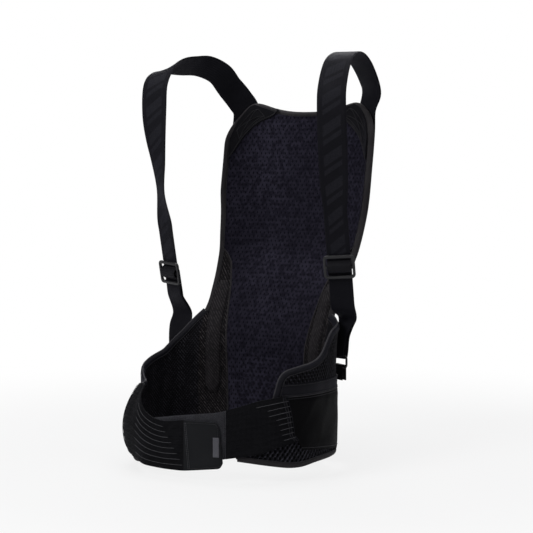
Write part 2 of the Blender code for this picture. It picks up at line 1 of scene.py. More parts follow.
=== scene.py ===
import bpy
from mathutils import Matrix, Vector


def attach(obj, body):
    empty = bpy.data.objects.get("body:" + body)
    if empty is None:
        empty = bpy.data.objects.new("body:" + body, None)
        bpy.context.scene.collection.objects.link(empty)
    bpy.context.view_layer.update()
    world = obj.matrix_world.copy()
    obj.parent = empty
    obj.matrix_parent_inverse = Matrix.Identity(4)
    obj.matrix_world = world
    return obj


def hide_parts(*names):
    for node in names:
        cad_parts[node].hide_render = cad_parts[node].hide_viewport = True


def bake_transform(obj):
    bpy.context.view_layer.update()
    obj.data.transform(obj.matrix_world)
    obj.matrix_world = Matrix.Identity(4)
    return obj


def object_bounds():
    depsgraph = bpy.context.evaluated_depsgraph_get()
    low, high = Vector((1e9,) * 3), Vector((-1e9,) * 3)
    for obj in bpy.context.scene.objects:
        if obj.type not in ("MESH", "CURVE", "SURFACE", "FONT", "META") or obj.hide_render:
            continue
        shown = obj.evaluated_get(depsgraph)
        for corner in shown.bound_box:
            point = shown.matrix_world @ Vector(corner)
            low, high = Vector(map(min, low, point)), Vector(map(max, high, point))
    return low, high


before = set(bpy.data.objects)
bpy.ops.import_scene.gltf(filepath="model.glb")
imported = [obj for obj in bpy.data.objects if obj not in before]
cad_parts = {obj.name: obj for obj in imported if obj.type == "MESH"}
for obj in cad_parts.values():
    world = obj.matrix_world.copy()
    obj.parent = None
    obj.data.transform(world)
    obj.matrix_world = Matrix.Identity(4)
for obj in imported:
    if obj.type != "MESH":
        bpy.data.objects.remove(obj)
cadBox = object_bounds()

import math

import bmesh
import bpy
import numpy as np
from mathutils import Matrix, Vector

# x across the wearer, +y behind, +z up; every surface is laid out by its way round
# the wearer from the spine (along), its height, and how far it stands off the body
wearer = {
    "waistHalfWidth": 0.140,
    "waistHalfDepth": 0.1025,
    "chestHalfWidth": 0.190,
    "squareness": 2.6,
    "flatDepth": 0.0008,
    "leanHeights": (-1.0, 0.008, 0.028, 0.05, 0.08, 0.137, 0.20, 0.27, 0.333, 0.42),
    "leanBack": (0.0, 0.0, 0.005, 0.0145, 0.030, 0.061, 0.080, 0.094, 0.104, 0.110),
    "lowest": -0.172,
    "highest": 0.374,
    "heightStep": 0.002,
    "alongStep": 0.001,
    "alongMost": 0.480,
    "bulgeHeight": -0.092,
    "bulgeReach": 0.045,
    "bulgeLean": 0.012,
    "bulgeShift": 0.004,
    "bulgeMost": 0.025,
}


def wearerTable():
    heights = np.arange(wearer["lowest"], wearer["highest"], wearer["heightStep"])
    distances = np.arange(0.0, wearer["alongMost"], wearer["alongStep"])
    lean = np.interp(heights, wearer["leanHeights"], wearer["leanBack"])
    spread = np.exp(-0.5 * (np.arange(-9, 10) / 3.0) ** 2)
    padded = np.pad(lean, 9, mode="edge")
    lean = np.convolve(padded, spread / spread.sum(), mode="valid")
    turn = np.linspace(0.0, math.pi, 1201)
    power = 2.0 / wearer["squareness"]
    table = np.zeros((len(heights), len(distances), 4))
    for row, height in enumerate(heights):
        widen = np.clip((height - 0.06) / 0.14, 0.0, 1.0)
        widen = widen * widen * (3.0 - 2.0 * widen)
        half = wearer["waistHalfWidth"]
        half += (wearer["chestHalfWidth"] - half) * widen
        x = half * np.abs(np.sin(turn)) ** power
        y = wearer["waistHalfDepth"] * np.sign(np.cos(turn)) * np.abs(np.cos(turn)) ** power
        y = np.minimum(y - wearer["waistHalfDepth"] + wearer["flatDepth"], 0.0)
        length = np.concatenate([[0.0], np.cumsum(np.hypot(np.diff(x), np.diff(y)))])
        side = np.clip((length - 0.10) / 0.10, 0.0, 1.0)
        y = y + lean[row] * (1.0 - side * side * (3.0 - 2.0 * side))
        slopeX = np.gradient(x, length)
        slopeY = np.gradient(y, length)
        size = np.hypot(slopeX, slopeY)
        wrapped = np.where(distances > length[-1], 2.0 * length[-1] - distances, distances)
        flip = np.where(distances > length[-1], -1.0, 1.0)
        table[row, :, 0] = np.interp(wrapped, length, x) * flip
        table[row, :, 1] = np.interp(wrapped, length, y)
        table[row, :, 2] = np.interp(wrapped, length, -slopeY / size) * flip
        table[row, :, 3] = np.interp(wrapped, length, slopeX / size)
    table[:, 0, 2] = 0.0
    table[:, 0, 3] = 1.0
    return table


bodyTable = wearerTable()


def leftBulge(along, height):
    # the belt's left side bulges at mid height, so its edges lean in
    around = easeStep(-along, 0.19, 0.235) * (1.0 - easeStep(-along, 0.295, 0.345))
    inside = ((height - wearer["bulgeHeight"]) / wearer["bulgeReach"]) ** 2
    inside = wearer["bulgeShift"] + wearer["bulgeLean"] * inside
    return np.minimum(inside, wearer["bulgeMost"]) * around


def bodyAt(along, height, offset=0.0):
    along, height, offset = np.broadcast_arrays(
        np.asarray(along, float), np.asarray(height, float), np.asarray(offset, float)
    )
    offset = offset - leftBulge(along, height)
    side = np.where(along < 0.0, -1.0, 1.0)
    row = (height - wearer["lowest"]) / wearer["heightStep"]
    column = np.abs(along) / wearer["alongStep"]
    row = np.clip(row, 0.0, bodyTable.shape[0] - 1.001)
    column = np.clip(column, 0.0, bodyTable.shape[1] - 1.001)
    r = row.astype(int)
    c = column.astype(int)
    p = (row - r)[..., None]
    q = (column - c)[..., None]
    value = bodyTable[r, c] * (1 - p) * (1 - q) + bodyTable[r + 1, c] * p * (1 - q)
    value = value + bodyTable[r, c + 1] * (1 - p) * q + bodyTable[r + 1, c + 1] * p * q
    size = np.maximum(np.hypot(value[..., 2], value[..., 3]), 1e-9)
    x = side * (value[..., 0] + value[..., 2] / size * offset)
    y = value[..., 1] + value[..., 3] / size * offset
    return np.stack([x, y, height], axis=-1)


def bodyOut(along, height):
    out = bodyAt(along, height, 0.01) - bodyAt(along, height, 0.0)
    return out / np.linalg.norm(out, axis=-1, keepdims=True)


def easeStep(value, low, high):
    share = np.clip((np.asarray(value, float) - low) / (high - low), 0.0, 1.0)
    return share * share * (3.0 - 2.0 * share)


def unit(vector):
    return vector / np.maximum(np.linalg.norm(vector, axis=-1, keepdims=True), 1e-9)


def softNoise(a, b, size, seed):
    draw = np.random.default_rng(seed)
    total = np.zeros(np.broadcast(a, b).shape)
    for k in range(7):
        angle = draw.uniform(0.0, math.tau)
        length = size * draw.uniform(0.6, 1.6)
        phase = draw.uniform(0.0, math.tau)
        total += np.sin((a * math.cos(angle) + b * math.sin(angle)) * math.tau / length + phase)
    return total / 4.0


def staggered(a, b, acrossPitch, upPitch):
    return np.cos(a * math.tau / acrossPitch) * np.cos(b * math.tau / upPitch)


# materials

def link(tree, source, socket):
    if isinstance(source, bpy.types.NodeSocket):
        tree.links.new(source, socket)
    else:
        socket.default_value = source


def maths(tree, operation, first, second=0.0, third=0.0):
    node = tree.nodes.new("ShaderNodeMath")
    node.operation = operation
    for k, value in enumerate((first, second, third)):
        link(tree, value, node.inputs[k])
    return node.outputs[0]


def ramp(tree, value, low, high):
    node = tree.nodes.new("ShaderNodeMapRange")
    node.interpolation_type = "SMOOTHSTEP"
    link(tree, value, node.inputs["Value"])
    node.inputs["From Min"].default_value = low
    node.inputs["From Max"].default_value = high
    return node.outputs["Result"]


def blendColour(tree, share, first, second):
    node = tree.nodes.new("ShaderNodeMix")
    node.data_type = "RGBA"
    link(tree, share, node.inputs[0])
    for socket, colour in ((node.inputs[6], first), (node.inputs[7], second)):
        if isinstance(colour, tuple):
            socket.default_value = (*colour, 1.0)
        else:
            tree.links.new(colour, socket)
    return node.outputs[2]


def wave(tree, value, pitch, shift=0.0):
    turned = maths(tree, "MULTIPLY_ADD", value, math.tau / pitch, shift)
    return maths(tree, "SINE", turned)


def grain(tree, scale, detail=4.0, rough=0.6):
    place = tree.nodes.new("ShaderNodeTexCoord")
    noise = tree.nodes.new("ShaderNodeTexNoise")
    noise.inputs["Scale"].default_value = scale
    noise.inputs["Detail"].default_value = detail
    noise.inputs["Roughness"].default_value = rough
    tree.links.new(place.outputs["Object"], noise.inputs["Vector"])
    return noise.outputs["Fac"]


def laySockets(tree):
    lay = tree.nodes.new("ShaderNodeAttribute")
    lay.attribute_name = "lay"
    split = tree.nodes.new("ShaderNodeSeparateXYZ")
    tree.links.new(lay.outputs["Vector"], split.inputs[0])
    return split.outputs


def knitHeight(tree, lay, look):
    a = wave(tree, lay[0], look["pitchA"])
    b = wave(tree, lay[1], look["pitchB"])
    return maths(tree, "MULTIPLY", a, b)


def twillHeight(tree, lay, look):
    rib = wave(tree, lay[0], look["pitchA"] * 6.0)
    lean = maths(tree, "MULTIPLY", maths(tree, "SIGN", rib), lay[0])
    both = maths(tree, "ADD", lean, lay[1])
    return wave(tree, both, look["pitchB"])


def ribHeight(tree, lay, look):
    fine = wave(tree, lay[1], look["pitchB"])
    cross = maths(tree, "MULTIPLY", wave(tree, lay[0], look["pitchA"]), 0.45)
    return maths(tree, "ADD", fine, cross)


# mask of the mesh holes, which are painted darker: the dark backing seen through them, plus painted shade in
# the pits
def holeShadeMask(tree, lay, look):
    a = wave(tree, lay[0], look["cellA"], math.pi / 2.0)
    b = wave(tree, lay[1], look["cellB"], math.pi / 2.0)
    both = maths(tree, "MULTIPLY", a, b)
    return ramp(tree, both, look["cellLow"], look["cellHigh"])


weaves = {"knit": knitHeight, "twill": twillHeight, "rib": ribHeight}


def clothMaterial(name, look):
    material = bpy.data.materials.new(name)
    material.use_nodes = True
    tree = material.node_tree
    shader = tree.nodes["Principled BSDF"]
    lay = laySockets(tree)
    blotch = ramp(tree, grain(tree, look.get("blotch", 22.0), 5.0), 0.38, 0.66)
    colour = blendColour(tree, blotch, look["shade"], look["colour"])
    height = weaves[look["weave"]](tree, lay, look)
    # raised threads painted lighter: a painted highlight on the tops of the weave
    thread = ramp(tree, height, -0.7, 0.9)
    colour = blendColour(tree, maths(tree, "MULTIPLY", thread, look["threadShare"]),
                         colour, look["thread"])
    fuzz = grain(tree, look.get("fuzz", 2600.0), 2.0)
    height = maths(tree, "MULTIPLY_ADD", fuzz, look.get("fuzzShare", 0.5), height)
    if "hatch" in look:
        pitch, lean, amount = look["hatch"]
        across = maths(tree, "MULTIPLY_ADD", lay[1], lean, lay[0])
        line = ramp(tree, wave(tree, across, pitch), 0.10, 0.70)
        patchy = ramp(tree, grain(tree, 260.0, 4.0), 0.36, 0.62)
        line = maths(tree, "MULTIPLY", maths(tree, "MULTIPLY", line, patchy), amount)
        colour = blendColour(tree, line, colour, look["hatchColour"])
        height = maths(tree, "MULTIPLY_ADD", line, 0.8, height)
    if "grainy" in look:
        # darker sunken specks: painted shade in irregular pits of the liner
        scale, amount = look["grainy"]
        pitShadeMask = maths(tree, "MULTIPLY", ramp(tree, grain(tree, scale, 3.0), 0.42, 0.60), amount)
        colour = blendColour(tree, pitShadeMask, colour, look["shade"])
        height = maths(tree, "MULTIPLY_ADD", pitShadeMask, -0.8, height)
    if "cellA" in look:
        # the holes' colour is the dark backing with painted shade in the pits; the bump also sinks them
        hole = holeShadeMask(tree, lay, look)
        colour = blendColour(tree, hole, colour, look["hole"])
        height = maths(tree, "MULTIPLY_ADD", hole, -look["cellDepth"], height)
    if "bars" in look:
        mask = barMask(tree, lay, look["bars"])
        colour = blendColour(tree, mask, colour, look["bars"]["colour"])
        height = maths(tree, "MULTIPLY_ADD", mask, look["bars"]["rise"], height)
    tree.links.new(colour, shader.inputs["Base Color"])
    worn = maths(tree, "MULTIPLY_ADD", blotch, -0.08, look["roughness"] + 0.04)
    tree.links.new(worn, shader.inputs["Roughness"])
    bump = tree.nodes.new("ShaderNodeBump")
    bump.inputs["Strength"].default_value = look["bump"]
    bump.inputs["Distance"].default_value = look["depth"]
    tree.links.new(height, bump.inputs["Height"])
    tree.links.new(bump.outputs[0], shader.inputs["Normal"])
    shader.inputs["Sheen Weight"].default_value = look["sheen"]
    shader.inputs["Sheen Roughness"].default_value = 0.45
    shader.inputs["Sheen Tint"].default_value = (*look["sheenTint"], 1.0)
    shader.inputs["Specular IOR Level"].default_value = look.get("specular", 0.15)
    return material


def barMask(tree, lay, bars):
    lean = maths(tree, "MULTIPLY", lay[0], bars["lean"])
    run = maths(tree, "DIVIDE", maths(tree, "ADD", lay[1], lean), bars["pitch"])
    part = maths(tree, "FRACT", run)
    pair = []
    for start, stop in bars["spans"]:
        begun = ramp(tree, part, start, start + bars["soft"])
        ended = ramp(tree, part, stop, stop + bars["soft"])
        pair.append(maths(tree, "MULTIPLY", begun, maths(tree, "SUBTRACT", 1.0, ended)))
    both = maths(tree, "MAXIMUM", pair[0], pair[1])
    middle = ramp(tree, maths(tree, "ABSOLUTE", lay[0]), bars["half"], bars["half"] - 0.0006)
    ends = maths(tree, "MULTIPLY", ramp(tree, lay[1], bars["from"], bars["from"] + 0.002),
                 ramp(tree, lay[1], bars["to"], bars["to"] - 0.002))
    face = ramp(tree, lay[2], bars["face"] - 0.1, bars["face"] + 0.1)
    mask = maths(tree, "MULTIPLY", maths(tree, "MULTIPLY", both, middle), ends)
    rough = ramp(tree, grain(tree, 900.0, 3.0), 0.30, 0.55)
    return maths(tree, "MULTIPLY", maths(tree, "MULTIPLY", mask, face), rough)


def plasticMaterial(name, look):
    material = bpy.data.materials.new(name)
    material.use_nodes = True
    tree = material.node_tree
    shader = tree.nodes["Principled BSDF"]
    geometry = tree.nodes.new("ShaderNodeNewGeometry")
    edge = ramp(tree, geometry.outputs["Pointiness"], 0.52, 0.60)
    scuff = ramp(tree, grain(tree, 420.0, 6.0), 0.46, 0.60)
    worn = maths(tree, "MULTIPLY", edge, scuff)
    colour = blendColour(tree, worn, look["colour"], look["worn"])
    tree.links.new(colour, shader.inputs["Base Color"])
    rough = maths(tree, "MULTIPLY_ADD", scuff, 0.16, look["roughness"])
    tree.links.new(rough, shader.inputs["Roughness"])
    bump = tree.nodes.new("ShaderNodeBump")
    bump.inputs["Strength"].default_value = 0.25
    bump.inputs["Distance"].default_value = 0.0002
    tree.links.new(grain(tree, 3200.0, 3.0), bump.inputs["Height"])
    tree.links.new(bump.outputs[0], shader.inputs["Normal"])
    return material


clothLooks = {
    "linerMesh": {"colour": (0.0215, 0.0198, 0.0330), "shade": (0.0070, 0.0064, 0.0118),
                  "thread": (0.052, 0.048, 0.074), "threadShare": 0.5, "weave": "knit",
                  "pitchA": 0.0011, "pitchB": 0.0013, "cellA": 0.0065, "cellB": 0.01126,
                  "cellLow": 0.45, "cellHigh": 0.85, "cellDepth": 1.2, "hole": (0.003, 0.003, 0.006),
                  "roughness": 0.86, "bump": 0.6, "depth": 0.0003, "sheen": 0.02,
                  "sheenTint": (0.62, 0.60, 0.85), "blotch": 8.0, "grainy": (150.0, 0.75),
                  "specular": 0.06},
    "airMesh": {"colour": (0.0024, 0.0023, 0.0031), "shade": (0.0012, 0.0012, 0.0016),
                "thread": (0.024, 0.0232, 0.0288), "threadShare": 0.6, "weave": "knit",
                "pitchA": 0.0019, "pitchB": 0.0026, "cellA": 0.0038, "cellB": 0.0052,
                "cellLow": 0.10, "cellHigh": 0.6, "cellDepth": 1.4, "hole": (0.00055, 0.00055, 0.00077),
                "roughness": 0.6, "bump": 0.8, "depth": 0.0004, "sheen": 0.0,
                "sheenTint": (0.75, 0.72, 0.8), "specular": 0.04, "hatch": (0.0046, 0.9, 0.70),
                "hatchColour": (0.046, 0.044, 0.053)},
    "sideMesh": {"colour": (0.0044, 0.0040, 0.0047), "shade": (0.0024, 0.0022, 0.0028),
                 "thread": (0.0306, 0.0279, 0.0306), "threadShare": 0.55, "weave": "knit",
                 "pitchA": 0.0016, "pitchB": 0.0022, "cellA": 0.0032, "cellB": 0.0044,
                 "cellLow": 0.15, "cellHigh": 0.7, "cellDepth": 1.2, "hole": (0.001125, 0.00105, 0.00135),
                 "roughness": 0.7, "bump": 0.7, "depth": 0.0003, "sheen": 0.0,
                 "sheenTint": (0.8, 0.75, 0.75), "specular": 0.04, "hatch": (0.0042, 0.8, 0.85),
                 "hatchColour": (0.074, 0.067, 0.070)},
    "coarseMesh": {"colour": (0.0030, 0.0029, 0.0040), "shade": (0.0020, 0.0019, 0.0027),
                   "thread": (0.03, 0.0288, 0.036), "threadShare": 0.5, "weave": "twill",
                   "pitchA": 0.0008, "pitchB": 0.0009, "cellA": 0.0062, "cellB": 0.0090,
                   "cellLow": 0.02, "cellHigh": 0.40, "cellDepth": 1.0, "hole": (0.00054, 0.00054, 0.00081),
                   "roughness": 0.55, "bump": 0.6, "depth": 0.0003, "sheen": 0.0,
                   "sheenTint": (0.8, 0.8, 0.9), "specular": 0.05, "hatch": (0.0060, 0.7, 0.9),
                   "hatchColour": (0.058, 0.057, 0.072)},
    "channelMesh": {"colour": (0.0133, 0.01216, 0.01378), "shade": (0.00855, 0.007885, 0.009025),
                    "thread": (0.034, 0.031, 0.034), "threadShare": 0.5, "weave": "knit",
                    "pitchA": 0.0012, "pitchB": 0.0012, "roughness": 0.8, "bump": 0.5,
                    "depth": 0.0002, "sheen": 0.02, "sheenTint": (0.85, 0.8, 0.8),
                    "hatch": (0.0040, 0.8, 0.5), "hatchColour": (0.070, 0.064, 0.068),
                    "specular": 0.04},
    "coverCloth": {"colour": (0.00496, 0.0048, 0.00656), "shade": (0.00336, 0.0032, 0.00448),
                   "thread": (0.012, 0.0116, 0.0152), "threadShare": 0.5, "weave": "knit",
                   "pitchA": 0.0009, "pitchB": 0.0009, "roughness": 0.7, "bump": 0.45,
                   "depth": 0.0002, "sheen": 0.06, "sheenTint": (0.7, 0.7, 0.85), "specular": 0.08},
    "panelCloth": {"colour": (0.0016, 0.0015, 0.0022), "shade": (0.0011, 0.0010, 0.0015),
                   "thread": (0.0035, 0.0034, 0.0044), "threadShare": 0.4, "weave": "knit",
                   "pitchA": 0.0007, "pitchB": 0.0007, "roughness": 0.55, "bump": 0.3,
                   "depth": 0.0001, "sheen": 0.0, "sheenTint": (0.8, 0.78, 0.85), "specular": 0.06},
    "bandCloth": {"colour": (0.00315, 0.00294, 0.00595), "shade": (0.00224, 0.0021, 0.00434),
                  "thread": (0.0077, 0.00735, 0.0126), "threadShare": 0.4, "weave": "rib",
                  "pitchA": 0.0012, "pitchB": 0.0010, "roughness": 0.6, "bump": 0.4,
                  "depth": 0.0002, "sheen": 0.05, "sheenTint": (0.6, 0.6, 0.85)},
    "bindingTape": {"colour": (0.019, 0.0172, 0.0190), "shade": (0.0090, 0.0080, 0.0095),
                    "thread": (0.046, 0.042, 0.046), "threadShare": 0.5, "weave": "rib",
                    "pitchA": 0.0016, "pitchB": 0.0011, "roughness": 0.62, "bump": 0.5,
                    "depth": 0.0002, "sheen": 0.1, "sheenTint": (0.85, 0.8, 0.85)},
    "ribbedElastic": {"colour": (0.0026, 0.0026, 0.0034), "shade": (0.0012, 0.0012, 0.0017),
                      "thread": (0.017, 0.017, 0.021), "threadShare": 0.55, "weave": "rib",
                      "pitchA": 0.0012, "pitchB": 0.0016, "roughness": 0.65, "bump": 0.7,
                      "depth": 0.0003, "sheen": 0.01, "sheenTint": (0.7, 0.74, 0.85), "specular": 0.07},
    "tabCloth": {"colour": (0.0060, 0.0065, 0.0080), "shade": (0.0048, 0.0052, 0.0064),
                 "thread": (0.016, 0.0168, 0.02), "threadShare": 0.5, "weave": "rib",
                 "pitchA": 0.0011, "pitchB": 0.0012, "roughness": 0.7, "bump": 0.5,
                 "depth": 0.0002, "sheen": 0.08, "sheenTint": (0.7, 0.75, 0.85)},
    "loopPile": {"colour": (0.030, 0.030, 0.036), "shade": (0.017, 0.017, 0.021),
                 "thread": (0.055, 0.055, 0.063), "threadShare": 0.3, "weave": "knit",
                 "pitchA": 0.0010, "pitchB": 0.0010, "roughness": 0.95, "bump": 0.9,
                 "depth": 0.0005, "sheen": 0.2, "sheenTint": (0.8, 0.8, 0.9), "fuzz": 1500.0,
                 "fuzzShare": 2.0, "blotch": 120.0},
    "strapCloth": {"colour": (0.0062, 0.0060, 0.0088), "shade": (0.0044, 0.0043, 0.0064),
                   "thread": (0.013, 0.0128, 0.018), "threadShare": 0.5, "weave": "twill",
                   "pitchA": 0.0006, "pitchB": 0.0012, "roughness": 0.6, "bump": 0.5,
                   "depth": 0.0002, "sheen": 0.05, "sheenTint": (0.6, 0.6, 0.8),
                   "bars": {"colour": (0.015, 0.015, 0.020), "lean": 0.62, "pitch": 0.040,
                            "spans": ((0.04, 0.40), (0.53, 0.70)), "soft": 0.03,
                            "half": 0.0125, "from": 0.075, "to": 0.560, "face": 0.5, "rise": 0.7},
                   "specular": 0.08},
    "webbingCloth": {"colour": (0.0058, 0.0056, 0.0078), "shade": (0.0042, 0.0040, 0.0056),
                     "thread": (0.014, 0.014, 0.018), "threadShare": 0.5, "weave": "twill",
                     "pitchA": 0.0006, "pitchB": 0.0012, "roughness": 0.6, "bump": 0.55,
                     "depth": 0.0002, "sheen": 0.05, "sheenTint": (0.6, 0.6, 0.8)},
    "pullCloth": {"colour": (0.10, 0.10, 0.115), "shade": (0.075, 0.075, 0.086),
                  "thread": (0.16, 0.16, 0.18), "threadShare": 0.4, "weave": "knit",
                  "pitchA": 0.0008, "pitchB": 0.0008, "roughness": 0.6, "bump": 0.4,
                  "depth": 0.0002, "sheen": 0.1, "sheenTint": (0.9, 0.9, 1.0)},
    "blackThread": {"colour": (0.022, 0.021, 0.025), "shade": (0.010, 0.0097, 0.012),
                    "thread": (0.034, 0.033, 0.038), "threadShare": 0.5, "weave": "rib",
                    "pitchA": 0.0005, "pitchB": 0.0006, "roughness": 0.5, "bump": 0.4,
                    "depth": 0.0001, "sheen": 0.05, "sheenTint": (0.8, 0.8, 0.9)},
    # pale cord; along the wing edges it is a painted highlight of the binding's fold
    "paleEdgeCord": {"colour": (0.040, 0.038, 0.044), "shade": (0.024, 0.023, 0.027),
                   "thread": (0.070, 0.068, 0.076), "threadShare": 0.5, "weave": "rib",
                   "pitchA": 0.0012, "pitchB": 0.0011, "roughness": 0.6, "bump": 0.5,
                   "depth": 0.0002, "sheen": 0.1, "sheenTint": (0.85, 0.85, 0.9)},
    "greyThread": {"colour": (0.085, 0.085, 0.095), "shade": (0.055, 0.055, 0.062),
                   "thread": (0.13, 0.13, 0.14), "threadShare": 0.5, "weave": "rib",
                   "pitchA": 0.0005, "pitchB": 0.0006, "roughness": 0.5, "bump": 0.4,
                   "depth": 0.0001, "sheen": 0.05, "sheenTint": (0.9, 0.9, 1.0)},
}
finishes = {name: clothMaterial(name, look) for name, look in clothLooks.items()}
finishes["mouldedPlastic"] = plasticMaterial(
    "mouldedPlastic", {"colour": (0.012, 0.012, 0.014), "worn": (0.06, 0.06, 0.065), "roughness": 0.32}
)
print("materials ready")


# building surfaces

def finishPiece(name, mesh, lay, finish, body, sharp):
    # lay holds where each point sits on its own cloth, for the weave to follow
    attribute = mesh.attributes.new("lay", "FLOAT_VECTOR", "POINT")
    attribute.data.foreach_set("vector", np.asarray(lay, np.float32).reshape(-1))
    mesh.shade_smooth()
    mesh.set_sharp_from_angle(angle=math.radians(sharp))
    mesh.materials.append(finishes[finish])
    piece = bpy.data.objects.new(name, mesh)
    bpy.context.scene.collection.objects.link(piece)
    if body:
        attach(piece, body)
    return piece


def addMesh(name, points, faces, lay, finish, body, sharp=50.0):
    mesh = bpy.data.meshes.new(name)
    mesh.from_pydata(points.reshape(-1, 3).tolist(), [], faces.tolist())
    corners = points.reshape(-1, 3)[faces[:, [0, 1, 2, 0, 2, 3]]].reshape(-1, 3, 3)
    volume = np.einsum("ij,ij->i", corners[:, 0], np.cross(corners[:, 1], corners[:, 2])).sum()
    if volume < 0.0:
        mesh.flip_normals()
    return finishPiece(name, mesh, lay, finish, body, sharp)


def sheetFaces(rows, columns):
    cell = np.arange((rows - 1) * (columns - 1))
    corner = cell // (columns - 1) * columns + cell % (columns - 1)
    near = np.stack([corner, corner + 1, corner + columns + 1, corner + columns], axis=1)
    count = rows * columns
    far = near[:, ::-1] + count
    top = np.arange(columns) + (rows - 1) * columns
    low = np.arange(columns)
    left = np.arange(rows) * columns
    right = left + columns - 1
    rim = np.concatenate([low, right[1:], top[::-1][1:], left[::-1][1:-1]])
    after = np.roll(rim, -1)
    wall = np.stack([after, rim, rim + count, after + count], axis=1)
    return np.concatenate([near, far, wall])


def clothSheet(name, columns, rows, place, finish, body="harness", stands=(), sharp=50.0):
    u, v = np.meshgrid(np.linspace(0, 1, columns + 1), np.linspace(0, 1, rows + 1))
    points = []
    lays = []
    for face in (0.0, 1.0):
        along, height, offset = place(u, v, face)
        points.append(bodyAt(along, height, offset))
        lays.append(np.stack(np.broadcast_arrays(along, height, face * np.ones_like(u)), axis=-1))
    piece = addMesh(name, np.array(points), sheetFaces(rows + 1, columns + 1), np.array(lays),
                    finish, body, sharp)
    if stands:
        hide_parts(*stands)
    return piece


def sweepRing(name, centres, profile, finish, body="harness", stands=(), closed=False):
    # centres (n, 3, 3): place, first axis, second axis; profile (m, 2) in those axes
    centres = np.asarray(centres, float)
    profile = np.asarray(profile, float)
    n, m = len(centres), len(profile)
    points = (centres[:, None, 0] + centres[:, None, 1] * profile[None, :, :1]
              + centres[:, None, 2] * profile[None, :, 1:])
    steps = np.linalg.norm(np.diff(centres[:, 0], axis=0), axis=1)
    run = np.concatenate([[0.0], np.cumsum(steps)])
    around = np.concatenate([[0.0], np.cumsum(np.linalg.norm(np.diff(profile, axis=0), axis=1))])
    lay = np.stack(np.broadcast_arrays(run[:, None], around[None, :], 0.5), axis=-1)
    faces = []
    for i in range(n if closed else n - 1):
        j = (i + 1) % n
        k = np.arange(m)
        l = (k + 1) % m
        faces.append(np.stack([i * m + k, i * m + l, j * m + l, j * m + k], axis=1))
    faces = np.concatenate(faces)
    points = points.reshape(-1, 3)
    lay = lay.reshape(-1, 3)
    if not closed:
        for start in (0, (n - 1) * m):
            middle = points[start:start + m].mean(axis=0)
            points = np.vstack([points, middle])
            lay = np.vstack([lay, lay[start]])
            k = np.arange(m)
            tip = np.full(m, len(points) - 1)
            ring = start + k, start + (k + 1) % m
            cap = [ring[1], ring[0], tip, tip] if start == 0 else [ring[0], ring[1], tip, tip]
            faces = np.vstack([faces, np.stack(cap, axis=1)])
    piece = makeRound(name, points, faces, lay, finish, body)
    if stands:
        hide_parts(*stands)
    return piece


def makeRound(name, points, faces, lay, finish, body, sharp=60.0):
    mesh = bpy.data.meshes.new(name)
    plain = [f[:3] if f[2] == f[3] else f for f in faces.tolist()]
    mesh.from_pydata(points.tolist(), [], plain)
    bm = bmesh.new()
    bm.from_mesh(mesh)
    if bm.calc_volume(signed=True) < 0.0:
        bmesh.ops.reverse_faces(bm, faces=bm.faces[:])
    bm.to_mesh(mesh)
    bm.free()
    return finishPiece(name, mesh, lay, finish, body, sharp)


def roundProfile(half, other, count=12, power=1.0):
    turn = np.arange(count) * math.tau / count
    x = np.sign(np.cos(turn)) * np.abs(np.cos(turn)) ** power
    y = np.sign(np.sin(turn)) * np.abs(np.sin(turn)) ** power
    return np.stack([x * half, y * other], axis=1)


def spaced(points, step):
    points = np.asarray(points, float)
    length = np.concatenate([[0.0], np.cumsum(np.linalg.norm(np.diff(points, axis=0), axis=1))])
    count = max(int(length[-1] / step), 2)
    at = np.linspace(0.0, length[-1], count + 1)
    return np.stack([np.interp(at, length, points[:, k]) for k in range(points.shape[1])], axis=1)


def stitches(name, lines, finish="blackThread", body="harness",
             length=0.0030, pitch=0.0040, radius=0.00042):
    # lines: lists of points with outward normals, one stitch every pitch
    ball = []
    rings = ((-1.0, 0.0), (-0.7, 0.75), (0.0, 1.0), (0.7, 0.75), (1.0, 0.0))
    for height, size in rings[1:4]:
        for k in range(6):
            ball.append((height, size * math.cos(k * math.tau / 6), size * math.sin(k * math.tau / 6)))
    ball = np.array([(-1.0, 0.0, 0.0)] + ball + [(1.0, 0.0, 0.0)])
    cells = []
    for k in range(6):
        l = (k + 1) % 6
        cells.append((0, 1 + l, 1 + k, 1 + k))
        for r in range(2):
            cells.append((1 + r * 6 + k, 1 + r * 6 + l, 7 + r * 6 + l, 7 + r * 6 + k))
        cells.append((13 + k, 13 + l, 19, 19))
    cells = np.array(cells)
    points, faces, lay = [], [], []
    total = 0
    for line in lines:
        line = spaced(line, pitch)
        middles = (line[1:] + line[:-1]) / 2.0
        runs = line[1:, :3] - line[:-1, :3]
        runs /= np.maximum(np.linalg.norm(runs, axis=1, keepdims=True), 1e-9)
        for middle, run in zip(middles, runs):
            out = middle[3:6] / max(np.linalg.norm(middle[3:6]), 1e-9)
            across = np.cross(run, out)
            shape = (ball[:, :1] * run * length / 2.0 + ball[:, 1:2] * out * radius
                     + ball[:, 2:3] * across * radius)
            points.append(middle[:3] + shape)
            lay.append(np.stack([ball[:, 0] * length / 2.0, ball[:, 1] * radius, ball[:, 0]], axis=1))
            faces.append(cells + total)
            total += len(ball)
    return makeRound(name, np.concatenate(points), np.concatenate(faces), np.concatenate(lay),
                     finish, body)


def evened(line, times):
    for _ in range(times):
        line[1:-1] = (line[:-2] + 2.0 * line[1:-1] + line[2:]) / 4.0
    return line


def inwardSide(line):
    run = np.gradient(line, axis=0)
    run /= np.linalg.norm(run, axis=1, keepdims=True)
    return np.stack([run[:, 1], -run[:, 0]], axis=1)


def seamLine(along, height, offset):
    along, height = np.asarray(along, float), np.asarray(height, float)
    flip = 1.0 if np.mean(offset) > 0.001 else -1.0
    return np.hstack([bodyAt(along, height, offset), flip * bodyOut(along, height)])


# the four sides and two diagonals of a sewn box
boxSides = ((0, 1), (1, 2), (2, 3), (3, 0), (0, 2), (1, 3))


